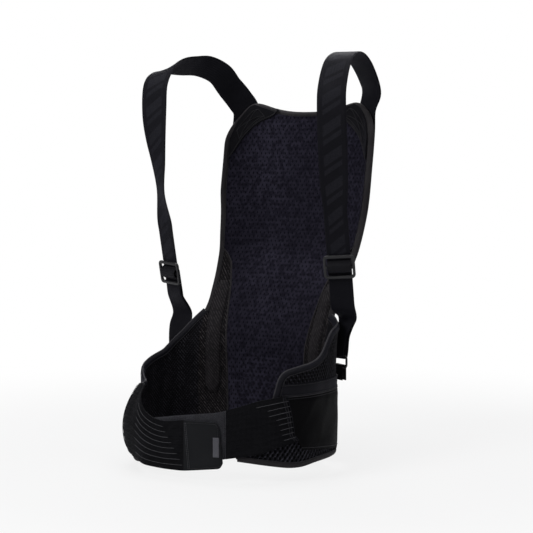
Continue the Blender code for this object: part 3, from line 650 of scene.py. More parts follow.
def cord(name, line, offset, radius, finish, body="harness"):
    # a thin round cord laid along a line of arc lengths and heights
    centre = bodyAt(line[:, 0], line[:, 1], offset)
    run = unit(np.gradient(centre, axis=0))
    out = bodyOut(line[:, 0], line[:, 1])
    centres = np.stack([centre, unit(np.cross(run, out)), out], axis=1)
    return sweepRing(name, centres, roundProfile(radius, radius, 8), finish, body)


# back panel

panel = {
    "bottom": -0.128,
    "peak": 0.346,
    "heights": (-0.13, 0.06, 0.11, 0.16, 0.22, 0.30, 0.321, 0.334, 0.346),
    "halfWidths": (0.102, 0.102, 0.108, 0.115, 0.121, 0.121, 0.114, 0.104, 0.094),
    "topShares": (0.0, 0.25, 0.55, 0.75, 0.92, 1.0),
    "topDips": (0.015, 0.0145, 0.0105, 0.0045, 0.0, 0.003),
    "trimHeights": (0.046, 0.066, 0.10, 0.15),
    "leftTrim": (0.0, 0.0060, 0.0085, 0.0090),
    "linerHeights": (-0.13, -0.03, 0.01, 0.047, 0.09, 0.121, 0.134, 0.150),
    "linerHalf": (0.060, 0.061, 0.063, 0.068, 0.075, 0.084, 0.094, 0.114),
    "linerThick": 0.0028,
    "coreInner": 0.0035,
    "coreEdge": 0.0012,
    "coreThick": 0.014,
    "coverThick": 0.0026,
}


def panelHalf(side, height):
    half = np.interp(height, panel["heights"], panel["halfWidths"])
    return half - (side < 0.0) * np.interp(height, panel["trimHeights"], panel["leftTrim"])


def panelPlace(u, v):
    side = 2.0 * u - 1.0
    nominal = panel["bottom"] + v * (panel["peak"] - panel["bottom"])
    left, right = panelHalf(-1.0, nominal), panelHalf(1.0, nominal)
    dip = np.interp(np.abs(side), panel["topShares"], panel["topDips"])
    height = panel["bottom"] + v * (panel["peak"] - dip * easeStep(v, 0.6, 1.0) - panel["bottom"])
    return u * (left + right) - left, height


def linerHalf(side, height):
    half = np.interp(height, panel["linerHeights"], panel["linerHalf"])
    return np.minimum(half, panelHalf(side, height))


def panelRim(inset, start=0.384):
    # the panel's outline from low on the left, over the top, to low on the right
    v = np.linspace(start, 1.0, 90)
    u = np.linspace(0.0, 1.0, 90)[1:-1]
    left = panelPlace(np.zeros_like(v), v)
    top = panelPlace(u, np.ones_like(u))
    right = panelPlace(np.ones_like(v), v[::-1])
    along = np.concatenate([left[0], top[0], right[0]])
    height = np.concatenate([left[1], top[1], right[1]])
    line = evened(spaced(np.stack([along, height], axis=1), 0.004), 6)
    inward = inwardSide(line)
    return line + inward * inset, inward


def edgeBinding(name, line, inward, middle, half, tip, width, stands, finish="bindingTape"):
    # a folded tape round an edge: tip is how far it stands past the edge, width how far it reaches in
    outer = line - inward * tip
    inner = line + inward * (width - tip)
    start = bodyAt(outer[:, 0], outer[:, 1], middle)
    reach = bodyAt(inner[:, 0], inner[:, 1], middle) - start
    out = bodyOut(outer[:, 0], outer[:, 1])
    size = np.linalg.norm(reach, axis=1, keepdims=True)
    centres = np.stack([start, reach / size, out], axis=1)
    turn = np.linspace(-math.pi / 2.0, math.pi / 2.0, 9)
    nose = np.stack([half * (1.0 - np.cos(turn)), half * np.sin(turn)], axis=1)
    crown = [(width * 0.55, half * 1.06), (width * 0.92, half * 0.98), (width, half * 0.80)]
    back = [(width, -half * 0.80), (width * 0.92, -half * 0.98), (width * 0.55, -half * 1.06)]
    profile = np.vstack([nose, crown, back])
    return sweepRing(name, centres, profile, finish, stands=stands)


def coreRise(u, v):
    across = easeStep(np.minimum(u, 1.0 - u), 0.06, 0.19)
    return across * easeStep(np.minimum(v, 1.0 - v), 0.02, 0.11)


def buildLiner():
    fine = 2

    def place(u, v, face):
        along, height = panelPlace(u, v)
        left, right = linerHalf(-1.0, height), linerHalf(1.0, height)
        along = np.where(height < panel["linerHeights"][-1], u * (left + right) - left, along)
        edge = easeStep(np.minimum(u, 1.0 - u), 0.0, 0.10) * easeStep(1.0 - v, 0.0, 0.03)
        crown = 0.0014 * edge + 0.0007 * edge * softNoise(along, height, 0.09, 3)
        pucker = 0.0005 * edge * softNoise(along, height * 2.2, 0.035, 5)
        dots = np.clip(staggered(along, height, 0.0065, 0.01126), 0.0, 1.0) ** 1.5
        near = -crown - pucker + 0.0007 * dots * edge
        return along, height, near if face < 0.5 else panel["linerThick"]

    piece = clothSheet("inner_liner_pad", 110 * fine, 200 * fine, place, "linerMesh",
                       stands=("inner_liner",), sharp=70.0)
    for side, name in ((-1.0, "left"), (1.0, "right")):
        height = np.linspace(-0.122, 0.149, 70)
        along = side * (linerHalf(side, height) + 0.0006)
        sideways = bodyAt(along + 0.01, height) - bodyAt(along, height)
        sideways /= np.linalg.norm(sideways, axis=1, keepdims=True)
        centres = np.stack([bodyAt(along, height, -0.0002), sideways, bodyOut(along, height)], axis=1)
        sweepRing(name + "_liner_piping", centres, roundProfile(0.0011, 0.0011, 8), "bindingTape")


quilting = {"pitch": 0.058, "shift": 0.13, "width": 0.0022, "depth": 0.0016, "low": -0.09, "high": 0.27}


def buildCover():
    def place(u, v, face):
        along, height = panelPlace(u, v)
        depth = panel["coreInner"] + 0.0004 + panel["coreEdge"]
        depth = depth + (panel["coreThick"] - panel["coreEdge"]) * coreRise(u, v)
        fromLine = np.mod(height + quilting["shift"], quilting["pitch"]) - quilting["pitch"] / 2.0
        groove = np.exp(-(fromLine / quilting["width"]) ** 2)
        groove *= easeStep(np.minimum(u, 1.0 - u), 0.17, 0.22)
        groove *= (height < quilting["high"]) * (height > quilting["low"])
        puff = 0.0008 * softNoise(along, height, 0.11, 8) * coreRise(u, v)
        outside = depth + panel["coverThick"] - quilting["depth"] * groove + puff
        return along, height, depth if face < 0.5 else outside

    piece = clothSheet("back_cover_pad", 120, 220, place, "coverCloth",
                       stands=("outer_cover", "impact_core"), sharp=70.0)


def buildPanelEdge():
    line, inward = panelRim(0.0)
    edgeBinding("panel_edge_binding", line, inward, 0.0037, 0.0042, 0.0040, 0.0070,
                ("panel_binding",))
    moved, _ = panelRim(0.0016)
    front = seamLine(moved[:, 0], moved[:, 1], -0.0008)
    rear = seamLine(moved[:, 0], moved[:, 1], 0.0083)
    stitches("panel_edge_stitching", [front, rear])


cornerPatch = {
    "innerEdge": ((0.1225, 0.268), (0.115, 0.276), (0.104, 0.292), (0.092, 0.306),
                  (0.078, 0.319), (0.062, 0.325), (0.050, 0.329), (0.044, 0.340)),
    "startsUp": 0.842,
    "endsAcross": 0.47,
    "edgeRows": (0.07, 0.13),
    "crossedBox": ((0.30, 0.22), (0.72, 0.22), (0.70, 0.72), (0.34, 0.72)),
    "threadOffset": -0.0037,
}


def patchCurve(side):
    # the patch's inner edge, from the panel's side to its top
    knots = np.array(cornerPatch["innerEdge"])
    at = np.linspace(0.0, 1.0, len(knots))
    fine = np.linspace(0.0, 1.0, 60)
    line = evened(np.stack([np.interp(fine, at, knots[:, k]) for k in range(2)], axis=1), 30)
    narrow = panelHalf(side, line[:, 1]) / panelHalf(1.0, line[:, 1])
    return line[:, 0] * side * narrow, line[:, 1]


def buildCornerPatches():
    for side, name in ((-1.0, "left"), (1.0, "right")):
        innerAlong, innerHeight = patchCurve(side)
        v = np.linspace(cornerPatch["startsUp"], 1.0, 40)
        u = 0.5 + 0.5 * side
        up = panelPlace(np.full_like(v, u), v)
        inside = 0.5 + 0.5 * side * cornerPatch["endsAcross"]
        over = panelPlace(np.linspace(u, inside, 30)[1:], np.ones(29))
        outline = spaced(np.stack([np.concatenate([up[0], over[0]]),
                                   np.concatenate([up[1], over[1]])], axis=1), 0.001)
        at = np.linspace(0.0, 1.0, len(outline))

        def place(u, v, face):
            outerAlong = np.interp(u, at, outline[:, 0])
            outerHeight = np.interp(u, at, outline[:, 1])
            share = np.linspace(0.0, 1.0, len(innerAlong))
            along = np.interp(u, share, innerAlong) * (1 - v) + outerAlong * v
            height = np.interp(u, share, innerHeight) * (1 - v) + outerHeight * v
            roll = 0.0008 * easeStep(v, 0.0, 0.06)
            wrinkle = 0.0003 * softNoise(along, height, 0.02, 12)
            return along, height, (-0.0026 - roll - wrinkle) if face < 0.5 else -0.0010

        clothSheet(name + "_corner_patch_cloth", 70, 36, place, "coverCloth",
                   stands=(name + "_corner_patch",))
        rows = []
        for share in cornerPatch["edgeRows"]:
            u = np.linspace(0.02, 0.98, 60)
            along, height, _ = place(u, np.full_like(u, share), 0.0)
            rows.append(seamLine(along, height, cornerPatch["threadOffset"]))
        corners = cornerPatch["crossedBox"]
        for a, b in boxSides:
            t = np.linspace(0.0, 1.0, 20)
            u = corners[a][0] * (1 - t) + corners[b][0] * t
            v = corners[a][1] * (1 - t) + corners[b][1] * t
            along, height, _ = place(u, v, 0.0)
            rows.append(seamLine(along, height, cornerPatch["threadOffset"]))
        stitches(name + "_patch_stitching", rows, finish="blackThread", length=0.0026, pitch=0.0034)


lumbarRidge = {"low": -0.060, "length": 0.156, "centre": 0.0825, "lean": 0.004, "half": 0.0104,
               "rise": 0.0042, "sideTop": 0.141}


def buildLowerSides():
    for side, name in ((-1.0, "left"), (1.0, "right")):
        def place(u, v, face):
            height = panel["bottom"] + v * (lumbarRidge["sideTop"] - panel["bottom"])
            inner = linerHalf(side, height) + 0.0008
            outer = panelHalf(side, height) + 0.0018
            along = side * (inner + u * (outer - inner))
            cell = np.clip(staggered(along, height, 0.0032, 0.0044), 0.0, 1.0)
            near = 0.0002 + 0.0004 * cell + 0.0005 * softNoise(along, height, 0.03, 21)
            return along, height, near if face < 0.5 else 0.0030

        clothSheet(name + "_lower_side_mesh", 60, 340, place, "sideMesh",
                   stands=(name + "_side_mesh",), sharp=80.0)

        def ridge(u, v, face):
            height = lumbarRidge["low"] + v * lumbarRidge["length"]
            centre = lumbarRidge["centre"] + lumbarRidge["lean"] * easeStep(height, 0.0, 0.09)
            half = lumbarRidge["half"] * (0.5 + 0.5 * easeStep(np.minimum(v, 1.0 - v), 0.0, 0.10))
            crown = np.sqrt(np.clip(1.0 - (2.0 * u - 1.0) ** 2, 0.0, 1.0))
            ends = np.sqrt(easeStep(np.minimum(v, 1.0 - v), 0.0, 0.05))
            along = side * (centre + half * (2.0 * u - 1.0))
            rise = 0.0003 + lumbarRidge["rise"] * crown * ends
            rise = rise + 0.0003 * softNoise(along, height, 0.02, 31) * crown
            return along, height, -0.0006 - rise if face < 0.5 else -0.0004

        cushion = clothSheet(name + "_lumbar_ridge", 28, 110, ridge, "channelMesh",
                             stands=(name + "_lumbar_channel",), sharp=80.0)
        rows = []
        for u in (-0.02, 1.02):
            v = np.linspace(0.02, 0.98, 70)
            along, height, _ = ridge(np.full_like(v, u), v, 1.0)
            rows.append(seamLine(along, height, -0.0007))
        stitches(name + "_ridge_stitching", rows, pitch=0.0036)


buildLiner()
buildCover()
buildPanelEdge()
buildCornerPatches()
buildLowerSides()
print("back panel built")


# waist wings

wings = {
    "shares": (0.0, 0.58, 0.86, 1.0),
    "alongAt": (0.1030, 0.264, 0.292, 0.331),
    "leftAlong": (0.10, 0.110, 0.126, 0.152, 0.178, 0.200, 0.214, 0.250, 0.270, 0.280, 0.290, 0.330),
    "leftTop": (0.057, 0.045, 0.024, -0.001, -0.010, -0.021, -0.033, -0.037, -0.038, -0.045, -0.068,
                -0.119),
    "rightAlong": (0.10, 0.126, 0.150, 0.170, 0.178, 0.188, 0.198, 0.210, 0.226, 0.250, 0.268, 0.275,
                   0.279, 0.290, 0.330),
    "rightTop": (0.056, 0.0485, 0.0460, 0.0430, 0.038, 0.027, 0.016, 0.009, 0.0045, 0.001, -0.003,
                 -0.010, -0.030, -0.062, -0.107),
    "bottomAlong": (0.10, 0.17, 0.224, 0.244, 0.262, 0.288, 0.309, 0.330),
    "rightBottom": (-0.117, -0.119, -0.120, -0.123, -0.123, -0.119, -0.116, -0.1135),
    "leftBottom": (-0.126, -0.130, -0.133, -0.134, -0.135, -0.133, -0.130, -0.127),
    "bandTop": -0.017,
    "bandBottom": -0.033,
    "bandStart": 0.126,
    "bandEnd": 0.2735,
    "rightPanelLow": (-0.1155, -0.1035),
    "leftPanelLow": (-0.1225, -0.1185),
    "leftDrop": -0.025,
    "folds": ((0.235, -0.055, 0.7, 0.006, 1.0), (0.205, -0.07, 0.5, 0.008, 0.7)),
    "bandThread": 0.0068,
    "panelThread": 0.0069,
}
seam = {"heights": (-0.102, -0.084, -0.056, -0.034), "along": (0.247, 0.260, 0.264, 0.269)}


def smoothed(along, alongs, heights, spread=0.007):
    total = np.zeros(np.shape(along))
    weight = 0.0
    for k in range(-4, 5):
        part = math.exp(-0.5 * (k / 2.0) ** 2)
        total = total + part * np.interp(np.asarray(along) + k * spread / 4.0, alongs, heights)
        weight += part
    return total / weight


def wingTop(side, along):
    key = "left" if side < 0.0 else "right"
    return smoothed(along, wings[key + "Along"], wings[key + "Top"], 0.0045)


def wingBottom(side, along):
    key = "left" if side < 0.0 else "right"
    return smoothed(along, wings["bottomAlong"], wings[key + "Bottom"], 0.012)


def seamAlong(side, height):
    drop = 0.0 if side > 0.0 else wings["leftDrop"]
    return np.interp(height - drop, seam["heights"], seam["along"])


def wingPlace(side):
    def place(u, v):
        along = np.interp(u, wings["shares"], wings["alongAt"])
        low = wingBottom(side, along)
        return along, low + v * (wingTop(side, along) - low)

    return place


def buildWings():
    for side, name in ((-1.0, "left"), (1.0, "right")):
        at = wingPlace(side)

        def inner(u, v, face):
            along, height = at(u, v)
            cell = np.clip(staggered(along, height, 0.0038, 0.0052), 0.0, 1.0)
            edge = easeStep(np.minimum(v, 1.0 - v), 0.0, 0.08)
            near = 0.0003 * cell * edge + 0.0009 * edge * softNoise(along, height, 0.06, 41)
            return side * along, height, near if face < 0.5 else 0.0026

        def outer(u, v, face):
            along, height = at(u, v)
            coarse = np.clip(staggered(along, height, 0.0062, 0.0090) * 1.6, 0.0, 1.0)
            edge = easeStep(np.minimum(v, 1.0 - v), 0.0, 0.06)
            far = 0.0051 - 0.0008 * coarse * edge + 0.0004 * edge * softNoise(along, height, 0.05, 43)
            return side * along, height, 0.0027 if face < 0.5 else far

        mesh = clothSheet(name + "_wing_inner_mesh", 190, 150, inner, "airMesh",
                          stands=(name + "_wing_mesh",), sharp=80.0)
        shell = clothSheet(name + "_wing_outer_mesh", 190, 170, outer, "coarseMesh",
                           stands=(name + "_wing_shell",), sharp=80.0)
        wingEdges(side, name)
        wingTrim(side, name)


def wingEdges(side, name):
    along = np.linspace(wings["alongAt"][0] - 0.001, wings["alongAt"][-1] - 0.002, 160)
    top = np.stack([along, wingTop(side, along)], axis=1)
    line = evened(spaced(top, 0.0025), 3)
    inward = inwardSide(line)
    bound = line * (side, 1.0)
    reach = inward * (side, 1.0)
    edgeBinding(name + "_wing_edge_binding", bound, reach, 0.0026, 0.0030, 0.0026, 0.0066,
                (name + "_wing_binding",), "bandCloth")
    # pale cord along the binding's fold: a painted highlight of the fold edge
    cord(name + "_wing_edge_highlight_cord", bound - reach * 0.0030, 0.0026, 0.0011, "paleEdgeCord")
    low = np.stack([along[::-1], wingBottom(side, along[::-1])], axis=1)
    hem = evened(spaced(low, 0.0025), 3)
    inwardHem = inwardSide(hem)
    edgeBinding(name + "_wing_hem_tape", hem * (side, 1.0), inwardHem * (side, 1.0),
                0.0026, 0.0030, 0.0036, 0.0078, (name + "_hem_binding",))
    rows = []
    for edge, inner in ((line, inward), (hem, inwardHem)):
        moved = (edge + inner * 0.0040) * (side, 1.0)
        rows.append(seamLine(moved[:, 0], moved[:, 1], 0.0059))
        rows.append(seamLine(moved[:, 0], moved[:, 1], -0.0007))
    stitches(name + "_wing_edge_stitching", rows)


def wingTrim(side, name):
    drop = 0.0 if side > 0.0 else wings["leftDrop"]
    start = wings["bandStart"]

    def band(u, v, face):
        along = start + u * (wings["bandEnd"] - start)
        height = wings["bandBottom"] + drop + v * (wings["bandTop"] - wings["bandBottom"])
        roll = 0.0006 * np.exp(-(v / 0.09) ** 2)
        far = 0.0062 + 0.0005 * np.sin(v * math.pi) + roll + 0.0002 * softNoise(along, height, 0.03, 51)
        return side * along, height, 0.0052 if face < 0.5 else far

    def smooth(u, v, face):
        back, front = wings[name + "PanelLow"]
        low = back + u * (front - back)
        high = wings["bandBottom"] + drop - 0.0006
        height = low + v * (high - low)
        end = seamAlong(side, height) - 0.0008
        along = start + u * (end - start)
        edge = easeStep(np.minimum(u, 1.0 - u), 0.0, 0.10) * easeStep(np.minimum(v, 1.0 - v), 0.0, 0.12)
        fold = sum(deep * np.exp(-(((along - middle) + lean * (height - level)) / width) ** 2)
                   for middle, level, lean, width, deep in wings["folds"])
        far = 0.0065 + edge * (0.0004 * fold + 0.0006 * softNoise(along, height, 0.055, 57) + 0.0008)
        return side * along, height, 0.0052 if face < 0.5 else far

    clothSheet(name + "_wing_band_tape", 150, 16, band, "bandCloth",
               stands=(name + "_wing_band",))
    clothSheet(name + "_wing_smooth_panel", 150, 70, smooth, "panelCloth",
               stands=(name + "_wing_panel",))
    rows = []
    u = np.linspace(0.0, 1.0, 120)
    for v in (0.10, 0.90):
        along, height, _ = band(u, np.full_like(u, v), 1.0)
        rows.append(seamLine(along, height, wings["bandThread"]))
    for v in (0.04, 0.965):
        along, height, _ = smooth(u, np.full_like(u, v), 1.0)
        rows.append(seamLine(along, height, wings["panelThread"]))
    stitches(name + "_wing_trim_stitching", rows)
    low = wings["bandBottom"] + drop - 0.0002
    start = np.linspace(0.128, float(seamAlong(side, low)), 80)
    cord(name + "_band_piping", np.stack([side * start, np.full(80, low)], axis=1), 0.0068, 0.0005,
         "paleEdgeCord")


buildWings()
print("wings built")


# waist belt

belt = {
    "inner": 0.0066,
    "thick": 0.0022,
    "overlap": 0.0096,
    "loopStart": 0.3425,
    "loopEnd": 0.460,
    "tabSeam": 0.4022,
    "tabEnd": 0.4545,
    "rightAlong": (0.24, 0.274, 0.301, 0.325, 0.352, 0.410, 0.462),
    "rightTop": (-0.028, -0.032, -0.037, -0.045, -0.054, -0.0615, -0.0695),
    "rightBottom": (-0.088, -0.096, -0.1065, -0.1105, -0.1155, -0.123, -0.127),
    "leftAlong": (0.24, 0.280, 0.305, 0.316, 0.324, 0.337, 0.352, 0.370, 0.400, 0.470),
    "leftTop": (-0.036, -0.031, -0.029, -0.036, -0.046, -0.058, -0.067, -0.071, -0.067, -0.066),
    "leftBottom": (-0.121, -0.125, -0.128, -0.129, -0.130, -0.131, -0.132, -0.133, -0.133, -0.124),
    "ribs": 9,
    "rightSeamLow": -0.093,
    "rightSeamLength": 0.062,
    "leftSeamLow": -0.121,
    "leftSeamLength": 0.075,
    "seamRows": (0.0015, 0.0045),
    "seamThread": 0.0095,
    "tabThread": 0.0135,
    "pullInset": 0.0098,
    "pullWidth": 0.0080,
    "pullDrop": 0.045,
    "pullHeight": 0.0255,
}


def beltEdge(which, along):
    key = which[:-3] if which.endswith("Top") else which[:-6]
    return smoothed(along, belt[key + "Along"], belt[which], 0.010)


def ribRise(v):
    fine = 0.00018 * np.cos(v * math.tau * 42.0)
    return fine + 0.00022 * np.cos(v * math.tau * belt["ribs"]) ** 8


def softEdge(v, reach=0.05):
    return 1.0 - 0.55 * (1.0 - np.sqrt(easeStep(np.minimum(v, 1.0 - v), 0.0, reach)))


def buildRightBelt():
    def place(u, v, face):
        start = seamAlong(1.0, belt["rightSeamLow"] + v * belt["rightSeamLength"])
        along = start + u * (belt["loopStart"] - start)
        low = beltEdge("rightBottom", along)
        height = low + v * (beltEdge("rightTop", along) - low)
        middle = belt["inner"] + belt["thick"] / 2.0
        pull = 0.0004 * np.cos(v * math.tau * belt["ribs"]) * np.exp(-u / 0.35)
        half = belt["thick"] / 2.0 * softEdge(v)
        wave = 0.0003 * softNoise(along, height, 0.05, 61)
        return along, height, middle - half if face < 0.5 else middle + half + ribRise(v) + pull + wave

    def loop(u, v, face):
        along = belt["loopStart"] + u * (belt["loopEnd"] - belt["loopStart"])
        low = beltEdge("rightBottom", along)
        height = low + v * (beltEdge("rightTop", along) - low)
        middle = belt["inner"] + belt["thick"] / 2.0
        half = belt["thick"] / 2.0 * softEdge(v)
        fluff = 0.00012 * softNoise(along, height, 0.0028, 63)
        return along, height, middle - half if face < 0.5 else middle + half + fluff

    clothSheet("right_elastic_band", 80, 190, place, "ribbedElastic",
               stands=("right_belt_elastic",))
    clothSheet("front_loop_panel", 150, 70, loop, "loopPile", stands=("loop_panel",))
    rows = []
    for inset in belt["seamRows"]:
        v = np.linspace(0.02, 0.98, 60)
        along, height, _ = place(np.zeros_like(v), v, 1.0)
        rows.append(seamLine(along + inset, height, belt["seamThread"]))
    stitches("right_seam_stitching", rows, pitch=0.0022, length=0.0018)
    for inset in (-0.0020, 0.0030):
        along, height, _ = place(np.zeros_like(v), v, 1.0)
        cord("right_seam_cord" + ("_back" if inset < 0.0 else "_front"),
             np.stack([along + inset, height], axis=1), 0.0086 if inset > 0.0 else 0.0074, 0.0008,
             "bandCloth")
    reach = (0.14, 0.14, 0.16, 0.17, 0.20, 0.30, 0.30, 0.47)
    threads("right_rib_threads", "harness", place, lambda k: (0.012, reach[k]))
    v = np.linspace(0.03, 0.97, 50)
    along, height, _ = loop(np.full_like(v, 0.015), v, 1.0)
    stitches("loop_seam_stitching", [seamLine(along, height, 0.0092)], pitch=0.0026, length=0.002)


def threads(name, body, place, span):
    # the light cords that show at the elastic's gathered end
    bundle = []
    for k in range(belt["ribs"] - 1):
        v = (k + 1.0) / belt["ribs"]
        start, end = span(k)
        u = np.linspace(start, end, 40)
        along, height, far = place(u, np.full_like(u, v), 1.0)
        line = bodyAt(along, height, far + 0.0001)
        out = bodyOut(along, height)
        bundle.append(np.hstack([line, out]))
    stitches(name, bundle, finish="greyThread", body=body, pitch=0.0042,
             length=0.0056, radius=0.00028)


def buildLeftBelt():
    def place(u, v, face):
        start = seamAlong(-1.0, belt["leftSeamLow"] + v * belt["leftSeamLength"])
        along = start + u * (belt["tabSeam"] - 0.0003 - start)
        low = beltEdge("leftBottom", along)
        height = low + v * (beltEdge("leftTop", along) - low)
        inner = belt["inner"] + (belt["overlap"] - belt["inner"]) * easeStep(along, 0.295, 0.345)
        middle = inner + belt["thick"] / 2.0
        half = belt["thick"] / 2.0 * softEdge(v)
        pull = 0.0003 * np.cos(v * math.tau * belt["ribs"]) * np.exp(-u / 0.5)
        wave = 0.0004 * softNoise(along, height, 0.06, 67)
        return -along, height, middle - half if face < 0.5 else middle + half + ribRise(v) + pull + wave

    clothSheet("left_elastic_band", 150, 190, place, "ribbedElastic",
               body="belt_end", stands=("left_belt_elastic",))
    threads("left_rib_threads", "belt_end", place, lambda k: (0.40, 0.985 - 0.034 * k))
    rows = []
    for inset in belt["seamRows"]:
        v = np.linspace(0.02, 0.98, 60)
        along, height, _ = place(np.zeros_like(v), v, 1.0)
        rows.append(seamLine(along - inset, height, belt["seamThread"]))
    stitches("left_seam_stitching", rows, body="belt_end", pitch=0.0022, length=0.0018)


def tabShape(trim, start, end, near, far, rise=0.0):
    def place(u, v, face):
        slant = 0.005 * (0.5 - v) * easeStep(u, 0.5, 1.0)
        along = start + u * (end - start) + slant
        low = beltEdge("leftBottom", along) + trim
        high = beltEdge("leftTop", along) - trim
        corner = 0.007 * (1.0 - np.sqrt(np.clip(1.0 - easeStep(u, 0.86, 1.0) ** 2, 0.0, 1.0)))
        height = low + corner + v * (high - low - 2.0 * corner)
        border = np.minimum(np.minimum(v, 1.0 - v) * 0.062, (1.0 - u) * (end - start))
        crown = rise * easeStep(border, 0.0, 0.004)
        return -along, height, near if face < 0.5 else far - rise + crown

    return place


def buildTab():
    tab = tabShape(0.0, belt["tabSeam"] + 0.0003, belt["tabEnd"], 0.0110, 0.0133, 0.0007)
    clothSheet("closure_tab_cloth", 120, 120, tab, "tabCloth", body="tab",
               stands=("closure_tab",))
    hook = tabShape(0.004, belt["tabSeam"] + 0.005, belt["tabEnd"] - 0.004, 0.0096, 0.0107)
    clothSheet("tab_hook_patch", 60, 40, hook, "loopPile", body="tab",
               stands=("hook_patch",))

    def pull(u, v, face):
        along = belt["tabEnd"] - belt["pullInset"] + u * belt["pullWidth"]
        height = beltEdge("leftTop", along) - belt["pullDrop"] + v * belt["pullHeight"]
        edge = np.minimum(np.minimum(u, 1 - u) * belt["pullWidth"], np.minimum(v, 1 - v) * belt["pullHeight"])
        return -along, height, 0.0131 if face < 0.5 else 0.0136 + 0.0006 * easeStep(edge, 0.0, 0.0012)

    clothSheet("tab_pull_patch", 24, 40, pull, "pullCloth", body="tab",
               stands=("pull_patch",))
    rows = []
    v = np.linspace(0.03, 0.97, 60)
    slanted = belt["tabSeam"] + 0.0015 + 0.0060 * (1.0 - v)
    low = beltEdge("leftBottom", slanted)
    height = low + v * (beltEdge("leftTop", slanted) - low)
    rows.append(seamLine(-slanted, height, belt["tabThread"]))
    rows.append(seamLine(-slanted - 0.0022, height, belt["tabThread"]))
    stitches("tab_seam_stitching", rows, body="tab", finish="greyThread",
             pitch=0.0024, length=0.0018, radius=0.00030)
    border = []
    u = np.linspace(0.12, 0.97, 50)
    for edge in (0.04, 0.96):
        along, height, _ = tab(u, np.full_like(u, edge), 1.0)
        border.append(seamLine(along, height, belt["tabThread"]))
    along, height, _ = tab(np.full_like(v, 0.965), v, 1.0)
    border.append(seamLine(along, height, belt["tabThread"]))
    stitches("tab_border_stitching", border, body="tab", pitch=0.0028, length=0.0020, radius=0.00032)


buildRightBelt()
buildLeftBelt()
buildTab()
print("belt built")


# shoulder straps

straps = {
    "width": 0.039,
    "thick": 0.0018,
    "turnRadius": 0.0036,
    "returnGap": 0.0024,
    "sliderWidth": 0.0425,
    "sliderHeight": 0.033,
    "sliderDepth": 0.0042,
    "sliderBar": 0.0045,
    "sliderCorner": 0.0055,
    "windowInset": 0.0072,
    "windowGap": 0.0036,
    "windowCorner": 0.0016,
    "ringWidth": 0.033,
    "ringHeight": 0.015,
    "ringWire": 0.0015,
    "tabReach": 0.018,
    "sewn": ((0.250, 0.0172), (0.280, 0.0172), (0.308, 0.0168), (0.336, 0.0150)),
    "right": {
        "over": ((0.108, 0.105, 0.366, -24.0, 1.0, 0.0), (0.113, 0.065, 0.400, -16.0, 1.0, 0.0),
                 (0.118, 0.020, 0.414, -4.0, 1.0, 0.0), (0.127, -0.028, 0.402, 8.0, 1.0, 0.0),
                 (0.131, -0.053, 0.368, 16.0, 1.0, 0.0), (0.134, -0.061, 0.335, 22.0, 1.0, 0.0),
                 (0.136, -0.061, 0.282, 26.0, 1.0, 0.0), (0.135, -0.055, 0.235, 27.0, 0.95, 0.0)),
        "top": (0.1342, -0.0505, 0.204), "low": (0.1285, -0.0165, 0.070), "facing": 22.0,
        "below": ((0.118, 0.052, 0.0182, -16.0, 0.77), (0.117, 0.030, 0.0155, -30.0, 0.74),
                  (0.116, 0.005, 0.0150, -33.0, 0.68)),
        "share": 0.575,
    },
    "left": {
        "over": ((-0.107, 0.108, 0.353, 26.0, 1.0, 0.0), (-0.119, 0.097, 0.373, 26.0, 1.0, 8.0),
                 (-0.1235, 0.078, 0.3905, 20.0, 1.0, 28.0), (-0.132, 0.050, 0.4005, 14.0, 1.0, 40.0),
                 (-0.140, 0.022, 0.4005, 12.0, 1.0, 40.0), (-0.147, -0.005, 0.3985, 10.0, 1.0, 32.0),
                 (-0.1525, -0.027, 0.391, 8.0, 1.0, 15.0), (-0.154, -0.044, 0.372, 4.0, 1.0, 2.0),
                 (-0.149, -0.055, 0.336, 2.0, 1.0, 0.0), (-0.143, -0.061, 0.300, -10.0, 0.98, 0.0),
                 (-0.1392, -0.060, 0.263, -26.0, 0.94, 0.0), (-0.1387, -0.055, 0.222, -40.0, 0.88, 0.0)),
        "top": (-0.1395, -0.0450, 0.183), "low": (-0.13744, -0.02154, 0.076), "facing": -20.0,
        "below": ((0.127, 0.052, 0.0190, -4.0, 0.81), (0.127, 0.034, 0.0185, 14.0, 0.80),
                  (0.127, 0.016, 0.0165, 28.0, 0.76), (0.127, -0.004, 0.0150, 36.0, 0.72)),
        "share": 0.69,
    },
}


def smoothPath(knots, steps):
    rows = np.array(knots, float)
    rows = np.vstack([2.0 * rows[0] - rows[1], rows, 2.0 * rows[-1] - rows[-2]])
    made = []
    for k in range(1, len(rows) - 2):
        a, b, c, d = rows[k - 1:k + 3]
        for j in range(steps):
            t = j / steps
            made.append(0.5 * (2.0 * b + (c - a) * t + (2.0 * a - 5.0 * b + 4.0 * c - d) * t * t
                               + (3.0 * b - 3.0 * c + d - a) * t ** 3))
    made.append(rows[-2])
    return np.array(made)


def strapRows(side, facts):
    rows = [(*bodyAt(side * 0.096, height, offset), -26.0 * side, 1.0, 0.0)
            for height, offset in straps["sewn"]]
    rows += list(facts["over"])
    top, low = np.array(facts["top"]), np.array(facts["low"])
    rows += [(*(top + k / 7.0 * (low - top)), facts["facing"], 0.82, 0.0) for k in range(8)]
    rows += [(*bodyAt(side * along, height, offset), angle, width, 0.0)
             for along, height, offset, angle, width in facts["below"]]
    return rows


def strapFrames(rows):
    places = rows[:, :3]
    run = unit(np.vstack([places[1] - places[0], places[2:] - places[:-2], places[-1] - places[-2]]))
    angle, roll = np.radians(rows[:, 3]), np.radians(rows[:, 5])
    across = np.stack([np.cos(angle) * np.cos(roll), np.sin(angle) * np.cos(roll), np.sin(roll)], axis=1)
    across = unit(across - run * np.sum(run * across, axis=1, keepdims=True))
    return places, across, -unit(np.cross(across, run)), rows[:, 4], run


